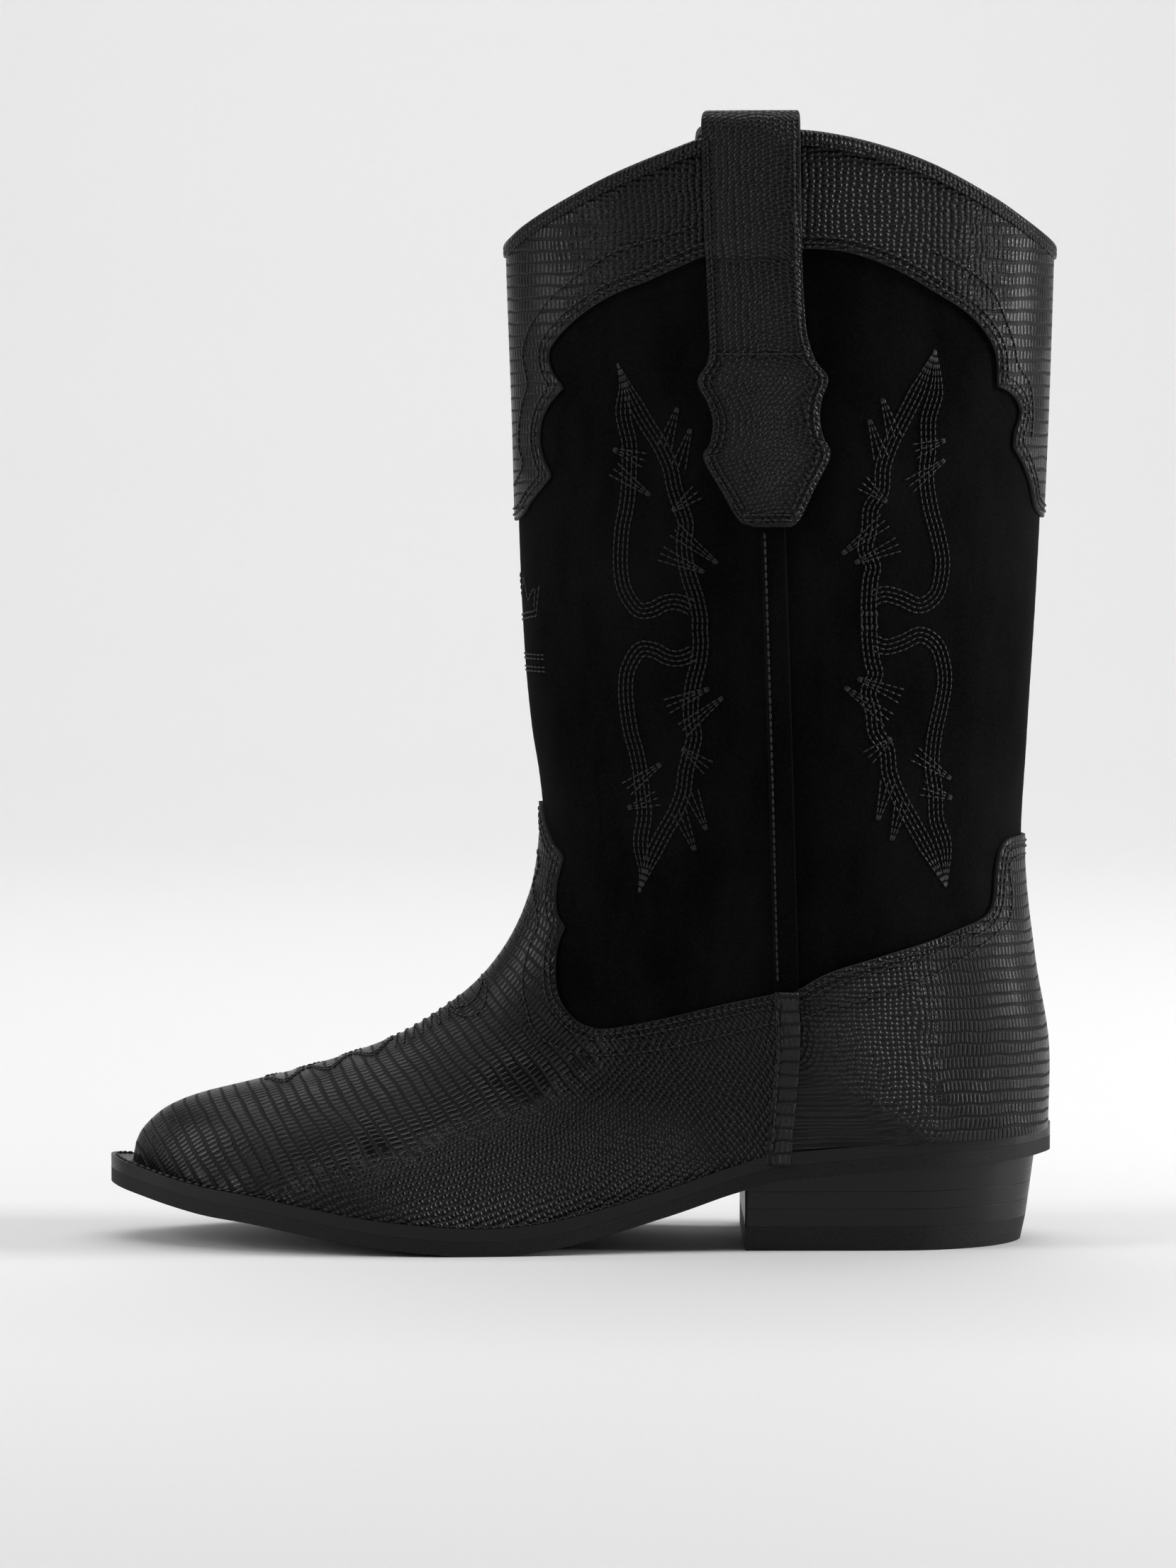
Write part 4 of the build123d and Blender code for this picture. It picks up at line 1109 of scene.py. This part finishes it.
pull_strap("pull_strap_outer_leather", -1, "pull_strap_outer")
pull_strap("pull_strap_inner_leather", 1, "pull_strap_inner")


# ============================ sole and heel ====================================================
def outline_slab(name, outline, cuts, low, high, top_of, material, node, soft, taper=None):
    """A slab cut to an outline seen from above, with rounded edges; its underside and top follow
    given heights along the boot."""
    bm = bmesh.new()
    bmesh.ops.create_circle(bm, cap_ends=True, segments=len(outline), radius=1.0)
    bm.verts.ensure_lookup_table()
    for vert, (x, y) in zip(bm.verts, outline):
        vert.co = Vector((x, y, 0.0)) * MM
    for x in cuts:
        bmesh.ops.bisect_plane(bm, geom=bm.verts[:] + bm.edges[:] + bm.faces[:],
                               plane_co=(x * MM, 0, 0), plane_no=(1, 0, 0), dist=1e-7)
    grown = bmesh.ops.extrude_face_region(bm, geom=bm.faces[:])
    fresh = [item for item in grown["geom"] if isinstance(item, bmesh.types.BMVert)]
    bmesh.ops.translate(bm, verts=fresh, vec=(0, 0, (high - low) * MM))
    bmesh.ops.recalc_face_normals(bm, faces=bm.faces)
    rims = [edge for edge in bm.edges
            if len(edge.link_faces) == 2 and edge.calc_face_angle(0) > 1.2
            and abs(edge.verts[0].co.z - edge.verts[1].co.z) < 1e-6]
    bmesh.ops.bevel(bm, geom=rims, offset=soft * MM, offset_type="OFFSET", affect="EDGES",
                    segments=3, profile=0.5, material=-1, clamp_overlap=True)
    for vert in bm.verts:
        x, y, z = vert.co.x / MM, vert.co.y / MM, vert.co.z / MM
        foot_z, top_z = top_of(x)
        part = z / (high - low)
        z = foot_z + (top_z - foot_z) * part
        if taper is not None:
            x, y = taper(x, y, z)
        vert.co = Vector((x, y, z)) * MM
    bmesh.ops.recalc_face_normals(bm, faces=bm.faces)
    piece = finish_mesh(name, bm)
    smooth_by = piece.modifiers.new("normals", "WEIGHTED_NORMAL")
    smooth_by.keep_sharp = False
    return attach(piece, [material], [node])


plan = np.array(SOLE_OUTLINE + [SOLE_OUTLINE[0]], float)
around_plan = []
for k in range(len(plan) - 1):
    a, b = plan[k - 1 if k else -2], plan[k]
    c, d = plan[k + 1], plan[(k + 2) if k + 2 < len(plan) else 1]
    r = np.linspace(0, 1, 17)[:-1, None]
    around_plan.append(0.5 * (2 * b + (c - a) * r + (2 * a - 5 * b + 4 * c - d) * r ** 2
                              + (3 * b - a - 3 * c + d) * r ** 3))
plan = spaced(np.vstack(around_plan + [plan[-1:]]), 1.6)[:-1]
SOLE_CUTS = np.arange(-132, 134, 6.0)

outline_slab("midsole_leather", plan, SOLE_CUTS, 0, MIDSOLE,
             lambda x: (float(sole_height(x)) - MIDSOLE, float(sole_height(x))),
             WELT_LEATHER, "midsole", 0.8)
outline_slab("outsole_rubber", plan, SOLE_CUTS, 0, OUTSOLE,
             lambda x: (float(sole_height(x)) - MIDSOLE - OUTSOLE, float(sole_height(x)) - MIDSOLE),
             RUBBER, "outsole", 0.45)


def heel_outline(back, half):
    """D-shaped outline of the heel stack."""
    turn = 84.0
    reach = back - turn
    tail = smooth([(turn - 8, -half), (turn, -half), (turn + reach * 0.38, -half * 0.955),
                   (turn + reach * 0.72, -half * 0.73), (turn + reach * 0.93, -half * 0.38),
                   (back, 0.0), (turn + reach * 0.93, half * 0.38),
                   (turn + reach * 0.72, half * 0.73), (turn + reach * 0.38, half * 0.955),
                   (turn, half), (turn - 8, half)], 1.5)
    side = np.stack([np.linspace(HEEL_BREAST, turn - 9, 12), np.full(12, -half)], 1)
    breast = np.stack([np.full(18, HEEL_BREAST), np.linspace(half, -half, 20)[1:-1]], 1)
    return np.vstack([side, tail, side[::-1] * (1, -1), breast])


def heel_taper(x, y, z):
    """The stack leans in and narrows from the seat down to the floor."""
    rows = np.array(HEEL_SECTIONS)
    back = np.interp(z, rows[:, 0], rows[:, 1])
    half = np.interp(z, rows[:, 0], rows[:, 2])
    full_back, full_half = HEEL_SECTIONS[-1][1:]
    share = max(0.0, (x - 84.0) / (full_back - 84.0))
    return x + (back - full_back) * share, y * half / full_half


heel_plan = heel_outline(HEEL_SECTIONS[-1][1], HEEL_SECTIONS[-1][2])
HEEL_CUTS = np.arange(52, 132, 5.0)
levels = (0.0, TOP_LIFT, TOP_LIFT + LIFT, TOP_LIFT + 2 * LIFT)
outline_slab("top_lift_rubber", heel_plan, HEEL_CUTS, 0, TOP_LIFT, lambda x: (0.0, TOP_LIFT),
             RUBBER, "top_lift", 0.4, heel_taper)
outline_slab("heel_lift_lower_leather", heel_plan, HEEL_CUTS, 0, LIFT,
             lambda x: (levels[1], levels[2]), HEEL_LEATHER, "heel_lift_lower",
             0.22, heel_taper)
outline_slab("heel_lift_upper_leather", heel_plan, HEEL_CUTS, 0, LIFT,
             lambda x: (levels[2], levels[3]), HEEL_LEATHER, "heel_lift_upper",
             0.22, heel_taper)
outline_slab("heel_wedge_leather", heel_plan, HEEL_CUTS, 0, LIFT,
             lambda x: (levels[3], float(sole_height(x)) - MIDSOLE - OUTSOLE),
             HEEL_LEATHER, "heel_wedge", 0.22, heel_taper)

# ============================ seams in thread ==================================================
def hem_rows(edge, across, centre, sheet, distances, grow=OUTER):
    """Rows of stitches beside a cut edge, on the leather's side of it."""
    rows = []
    whole = across(edge)
    for distance in distances:
        choices = [offset_line(whole, way * distance, grow) for way in (-1, 1)]
        held = [inside(sheet, flatten(choice, centre)) for choice in choices]
        best = int(held[1].sum() > held[0].sum())
        rows.append(on_form(choices[best][held[best]], grow))
    return rows


rows = (hem_rows(vamp_edge, across_ridge, math.pi, vamp_sheet, (1.7, 3.4))
        + hem_rows(counter_edge, across_back, 0.0, counter_sheet, (1.7, 3.4))
        + hem_rows(front_edge, across_ridge, math.pi, front_sheet, (1.7, 3.4))
        + hem_rows(back_edge, across_back, 0.0, back_sheet, (1.7, 3.4)))
FANCY_VAMP = [(-12.1, 120.1), (-10.9, 109.6), (-12.5, 102.2), (-11.3, 92.3), (-13.5, 86.1),
              (-15.7, 77.1), (-14.9, 68.8), (-11.1, 60.6), (2.0, 56.0), (20.0, 57.4),
              (36.6, 61.0), (56.7, 66.4)]
FANCY_COUNTER = [(63.7, 67.8), (95.7, 78.3), (106.3, 83.1), (115.4, 88.7), (120.8, 92.9),
                 (123.2, 95.6), (123.8, 102.6), (123.0, 110.4), (125.6, 112.8), (131.5, 113.4)]
FANCY_FRONT = [(33.2, 293.3), (21.1, 289.3), (11.9, 286.7), (3.0, 281.5), (-1.8, 277.9),
               (-6.4, 274.1), (-10.3, 269.4), (-13.3, 264.8), (-15.1, 259.0), (-14.9, 254.3),
               (-13.9, 248.7), (-15.3, 243.5), (-16.3, 236.1), (-16.3, 230.2), (-15.3, 225.6),
               (-17.7, 219.4)]
FANCY_BACK = [(99.3, 286.3), (104.7, 283.7), (112.0, 279.3), (117.4, 273.8), (121.0, 265.8),
              (123.2, 259.6), (124.4, 254.2), (128.0, 248.7), (129.0, 240.7), (128.6, 233.4)]
for path in (FANCY_VAMP, FANCY_COUNTER, FANCY_FRONT, FANCY_BACK):
    fine = smooth(path, 0.8)
    line = locate(fine[:, 0], fine[:, 1])
    line = line[(line[:, 1] > 0.02) & (line[:, 1] < math.pi - 0.02)]
    other = line * (1, -1) + (0, 2 * math.pi)
    rows += [on_form(line, OUTER), on_form(other, OUTER)]
sew("edge_stitching", rows, THREAD_BLACK)
sew("binding_stitching",
    [on_form(groove_front, BINDING_GROOVE), on_form(groove_back, BINDING_GROOVE)],
    THREAD_BLACK, radius=0.3)


# ============================ embroidery =======================================================
FRONT_LEFT = [(10.8, 254.7), (12.5, 248.3), (12.5, 239.8), (14.2, 231.9), (14.2, 225.2),
              (13.9, 218.4), (13.3, 213.4), (12.2, 207.7), (11.7, 200.4), (11.9, 194.8),
              (13.1, 189.7), (16.7, 184.6), (20.7, 184.6), (24.0, 186.3), (26.9, 186.9),
              (29.7, 186.3), (31.9, 185.2)]
FRONT_RIGHT = [(10.8, 254.7), (15.0, 244.9), (19.0, 237.6), (22.9, 231.4), (25.7, 225.2),
               (26.9, 219.5), (28.5, 214.5), (30.2, 208.9), (29.7, 203.8), (30.2, 198.2),
               (31.4, 193.1), (33.1, 188.0), (34.2, 182.4), (34.2, 178.8)]
FRONT_THORNS = [[(27.4, 240.7), (24.6, 231.9)], [(31.1, 234.7), (28.5, 226.3)],
                [(10.8, 229.7), (17.3, 227.4)], [(10.8, 223.8), (19.0, 217.9)],
                [(28.0, 206.6), (38.1, 198.7)], [(24.3, 200.1), (34.2, 195.9)],
                [(32.5, 217.3), (27.4, 213.4)]]
BACK_RIGHT = [(100.9, 258.4), (101.2, 247.1), (99.0, 238.7), (99.0, 230.2), (98.4, 222.9),
              (99.5, 214.5), (101.8, 206.0), (103.2, 199.3), (102.9, 193.7), (101.2, 188.6),
              (96.7, 185.8), (91.1, 188.0), (86.6, 189.1), (83.2, 188.0)]
BACK_LEFT = [(100.9, 258.4), (96.2, 247.7), (91.7, 238.7), (88.3, 231.9), (86.0, 225.2),
             (85.5, 218.4), (82.6, 213.4), (82.1, 207.7), (81.0, 202.1), (83.2, 197.0),
             (82.6, 193.7), (82.1, 188.0), (82.1, 182.4), (82.6, 178.8)]


def embroidery(name, bands, thorns, middle, shear, side):
    """A tall pointed figure in four close rows of thread, its lower half mirrored."""
    rows = []
    for band in bands:
        upper = smooth(band, 0.8)
        low = upper.copy()
        low[:, 1] = 2 * middle - low[:, 1]
        low[:, 0] += shear * (middle - low[:, 1]) / 76.0
        for half in (upper, low):
            line = locate(half[:, 0], half[:, 1])
            if side > 0:
                line[:, 1] = 2 * math.pi - line[:, 1]
            taper = np.clip(np.arange(len(line)) * 0.8 / 13.0, 0.08, 1.0)[:, None]
            for aside in (-2.1, -0.7, 0.7, 2.1):
                rows.append(on_form(offset_line(line, aside * taper, 0.0, trim=False), 0.0))
    for thorn in thorns:
        for mirrored in (False, True):
            ends = np.array(thorn, float)
            if mirrored:
                ends[:, 1] = 2 * middle - ends[:, 1]
                ends[:, 0] += shear * (middle - ends[:, 1]) / 76.0
            root, point = (ends[1], ends[0]) if thorn[0][1] > 225 else (ends[0], ends[1])
            way = (point - root) / np.linalg.norm(point - root)
            beside = np.array([-way[1], way[0]])
            for aside in (-2.1, 0.0, 2.1):
                line = spaced(np.array([root - way * 1.5 + beside * aside,
                                        point + way * 1.5 + beside * aside * 0.15]), 0.8)
                line = locate(line[:, 0], line[:, 1])
                if side > 0:
                    line[:, 1] = 2 * math.pi - line[:, 1]
                rows.append(on_form(line, 0.0))
    sew(name, rows, THREAD_BLACK, pitch=1.9, radius=0.27)


BACK_THORNS = [[(113.5 - x, z + 2.6) for x, z in thorn] for thorn in FRONT_THORNS]
for side, word in ((-1, "outer"), (1, "inner")):
    embroidery("embroidery_front_" + word, (FRONT_LEFT, FRONT_RIGHT), FRONT_THORNS, 178.8, 6.3,
               side)
    embroidery("embroidery_back_" + word, (BACK_LEFT, BACK_RIGHT), BACK_THORNS, 181.6, 4.0, side)



def ridge_rows(paths, grow, arc_step=0.8):
    """Rows over the front ridge from paths of (distance round from the ridge, ridge x), with
    their mirror images on the other side."""
    rows = []
    for path in paths:
        fine = spaced(np.array(path, float), arc_step)
        run = run_of(np.interp(fine[:, 1], SECTIONS[:15, 0], np.arange(15)))
        for way in (-1, 1):
            rows.append(on_form(raise_up(np.stack([fine[:, 0] * way, run], 1), math.pi), grow))
    return rows


def wave(x0, x1, count, near, far):
    """A wavy path beside the ridge."""
    xs = np.linspace(x0, x1, count * 12)
    swing = (1 - np.cos((xs - x0) / (x1 - x0) * 2 * math.pi * count)) / 2
    return np.stack([near + (far - near) * swing, xs], 1)


# toe ornament: waves, a filled zigzag and two loops over the ridge
zigzag = [(0.6 if k % 2 else 11.0, -54.0 + k * 1.25) for k in range(17)]
loops = [(9 * abs(math.sin(a)) + 1.0, -33.0 + 5 * math.cos(a)) for a in np.linspace(0, math.pi, 25)]
sew("toe_stitching", ridge_rows([wave(-92, -54, 3, 2.0, 9.0), wave(-92, -54, 3, 3.6, 10.6),
                                 zigzag, loops, [(2.5 + p[0] * 1.3, p[1]) for p in loops]], OUTER),
    THREAD_BLACK, pitch=1.9)


def height_rows(paths, grow):
    """Rows over the front of the leg from paths of (distance round from the ridge, height)."""
    rows = []
    for path in paths:
        fine = spaced(np.array(path, float), 0.8)
        for way in (-1, 1):
            arc = fine[:, 0] * way
            turn = math.pi + arc / 40
            t = np.full(len(arc), 19.5)
            for _ in range(3):
                t = level_t(turn, fine[:, 1], grow, t)
                turn = turn_of(t, arc, math.pi)
            rows.append(on_form(np.stack([t, turn], 1), grow))
    return rows


# front of the leg: a small crown over two pairs of level rows
crown = [(0, 194.5), (3.5, 187.0), (7.0, 193.0), (9.5, 186.5), (14.5, 191.0), (13.0, 183.5),
         (0, 182.0)]
under = [(0, 180.6), (14.0, 182.1), (16.5, 191.0)]
bars = [[(0, z), (17.0, z)] for z in (170.9, 169.7, 167.3, 166.1)]
sew("crown_embroidery", height_rows([crown, under] + bars, 0.0), THREAD_BLACK,
    pitch=1.9, radius=0.27)


def upright_rows(x_of, z_low, z_high, grow_of, side):
    """A row up the leg at a given x for each height."""
    zs = np.arange(z_low, z_high, 0.9)
    line = locate(x_of(zs), zs)
    if side > 0:
        line[:, 1] = 2 * math.pi - line[:, 1]
    return on_form(line, grow_of(zs))


def strap_x(points, shift):
    """One side of the strap, moved sideways, as a function of height."""
    rise = smooth(points, 0.6)
    return lambda z: np.interp(z, rise[:, 1], rise[:, 0]) + shift


def strap_face(z):
    """How far the strap's outer face stands off the suede at a height."""
    return np.interp(z, [208, 280, 284, 289, 296, 306, 317],
                     np.array([0, 0, 0.4, 1.2, 1.5, 1.9, 2.2]) + STRAP)


rows = []
for side in (-1, 1):
    rows.append(upright_rows(lambda z: seam_x(z, 5.9), 30, 73, lambda z: 2 * OUTER - 0.05, side))
    rows.append(upright_rows(lambda z: seam_x(z, 5.9), 78, 207, lambda z: OUTER - 0.05, side))
    for points, way in ((PATCH_LEFT, 1), (PATCH_RIGHT, -1)):
        rows.append(upright_rows(strap_x(points, way * 1.8), 211, 318, strap_face, side))
        rows.append(upright_rows(strap_x(points, way * 3.4), 213, 256, strap_face, side))
    for height in (257.0, 211.6, 210.2):
        xs = np.arange(strap_x(PATCH_LEFT, 2.2)(height), strap_x(PATCH_RIGHT, -2.2)(height), 0.9)
        line = locate(xs, np.full(len(xs), height))
        if side > 0:
            line[:, 1] = 2 * math.pi - line[:, 1]
        rows.append(on_form(line, STRAP))
sew("strap_and_seam_stitching", rows, THREAD_BLACK, pitch=2.2)

# welt stitches along the shelf of the sole round the toe
ahead = np.roll(plan, -1, 0) - np.roll(plan, 1, 0)
inward = np.stack([-ahead[:, 1], ahead[:, 0]], 1)
inward /= np.linalg.norm(inward, axis=1, keepdims=True)
if (inward * -plan).sum() < 0:
    inward = -inward
shelf = plan + inward * 1.7
shelf = np.roll(shelf, len(shelf) // 2, 0)
shelf = shelf[shelf[:, 0] < 40]
shelf = np.column_stack([shelf, sole_height(shelf[:, 0]) + 0.05])
sew("welt_stitching", [(shelf, np.tile([0.0, 0.0, 1.0], (len(shelf), 1)))],
    THREAD_BLACK, pitch=2.6, radius=0.42)

# ============================ stage, light and camera ==========================================
scene = bpy.context.scene
scene.view_settings.view_transform = "Standard"


def stage_sheet():
    """Seamless pale paper under and behind the boot."""
    bm = bmesh.new()
    bmesh.ops.create_grid(bm, x_segments=1, y_segments=40, size=1.0)
    for vert in bm.verts:
        way = (vert.co.y + 1) / 2
        x = vert.co.x * 6
        if way < 0.6:
            y, z = -3 + way / 0.6 * 4.6, 0.0
        else:
            turn = min((way - 0.6) / 0.2, 1) * math.pi / 2
            y = 1.6 + math.sin(turn) * 1.2
            z = (1 - math.cos(turn)) * 1.2 + max(0, way - 0.8) / 0.2 * 4
        vert.co = Vector((x, y, z))
    floor = finish_mesh("paper_floor", bm)
    material, tree, shader = new_material("pale_studio_paper")
    where = add(tree, "ShaderNodeTexCoord").outputs["Object"]
    fibre = add(tree, "ShaderNodeTexNoise", Vector=where, Scale=900.0, Detail=2.0)
    tone = add(tree, "ShaderNodeMix", {"data_type": "RGBA"}, i0=fibre.outputs["Fac"],
               i6=linear("#e6e6e6"), i7=linear("#ececec"))
    tree.links.new(tone.outputs[2], shader.inputs["Base Color"])
    shader.inputs["Roughness"].default_value = 0.8
    floor.data.materials.append(material)


stage_sheet()


def softbox(name, place_, aim, width, height, power):
    """Rectangular studio light at a place in metres, turned towards another; power in watts."""
    light = bpy.data.lights.new(name, "AREA")
    light.shape = "RECTANGLE"
    light.size, light.size_y = width, height
    light.energy = power
    lamp = bpy.data.objects.new(name, light)
    lamp.location = place_
    lamp.rotation_euler = (Vector(aim) - Vector(place_)).to_track_quat("-Z", "Y").to_euler()
    scene.collection.objects.link(lamp)


softbox("softbox_left", (-1.6, -0.35, 0.85), (0, 0, 0.12), 0.5, 1.2, 13)
softbox("softbox_right", (1.6, -0.05, 0.7), (0, 0, 0.15), 0.25, 1.2, 26)
softbox("softbox_top", (0, 0.1, 1.9), (0, 0.1, 0.0), 2.6, 1.8, 20.5)
softbox("softbox_back", (0, 1.0, 2.4), (0, 2.9, 0.9), 3.0, 1.2, 41)

# the studio round the boot is dim where it lights the boot and pale where it is seen
world = bpy.data.worlds.new("studio")
world.use_nodes = True
tree = world.node_tree
seen = add(tree, "ShaderNodeLightPath").outputs["Is Camera Ray"]
level = add(tree, "ShaderNodeMapRange", Value=seen, To_Min=0.05, To_Max=0.84)
tree.nodes["Background"].inputs[0].default_value = linear("#ffffff")
tree.links.new(level.outputs[0], tree.nodes["Background"].inputs[1])
scene.world = world

CAMERA_DISTANCE = 1.6    # from the boot's middle plane (m)
CAMERA_HEIGHT = 0.232    # above the floor (m)
CAMERA_DIP = 3.55        # below the horizontal (degrees)
lens = bpy.data.cameras.new("camera")
lens.sensor_fit = "VERTICAL"
lens.sensor_height = 36
lens.lens = 126.3
camera = bpy.data.objects.new("camera", lens)
camera.location = (0.0024, -CAMERA_DISTANCE, CAMERA_HEIGHT)
camera.rotation_euler = (math.radians(90 - CAMERA_DIP), 0, 0)
scene.collection.objects.link(camera)
scene.camera = camera
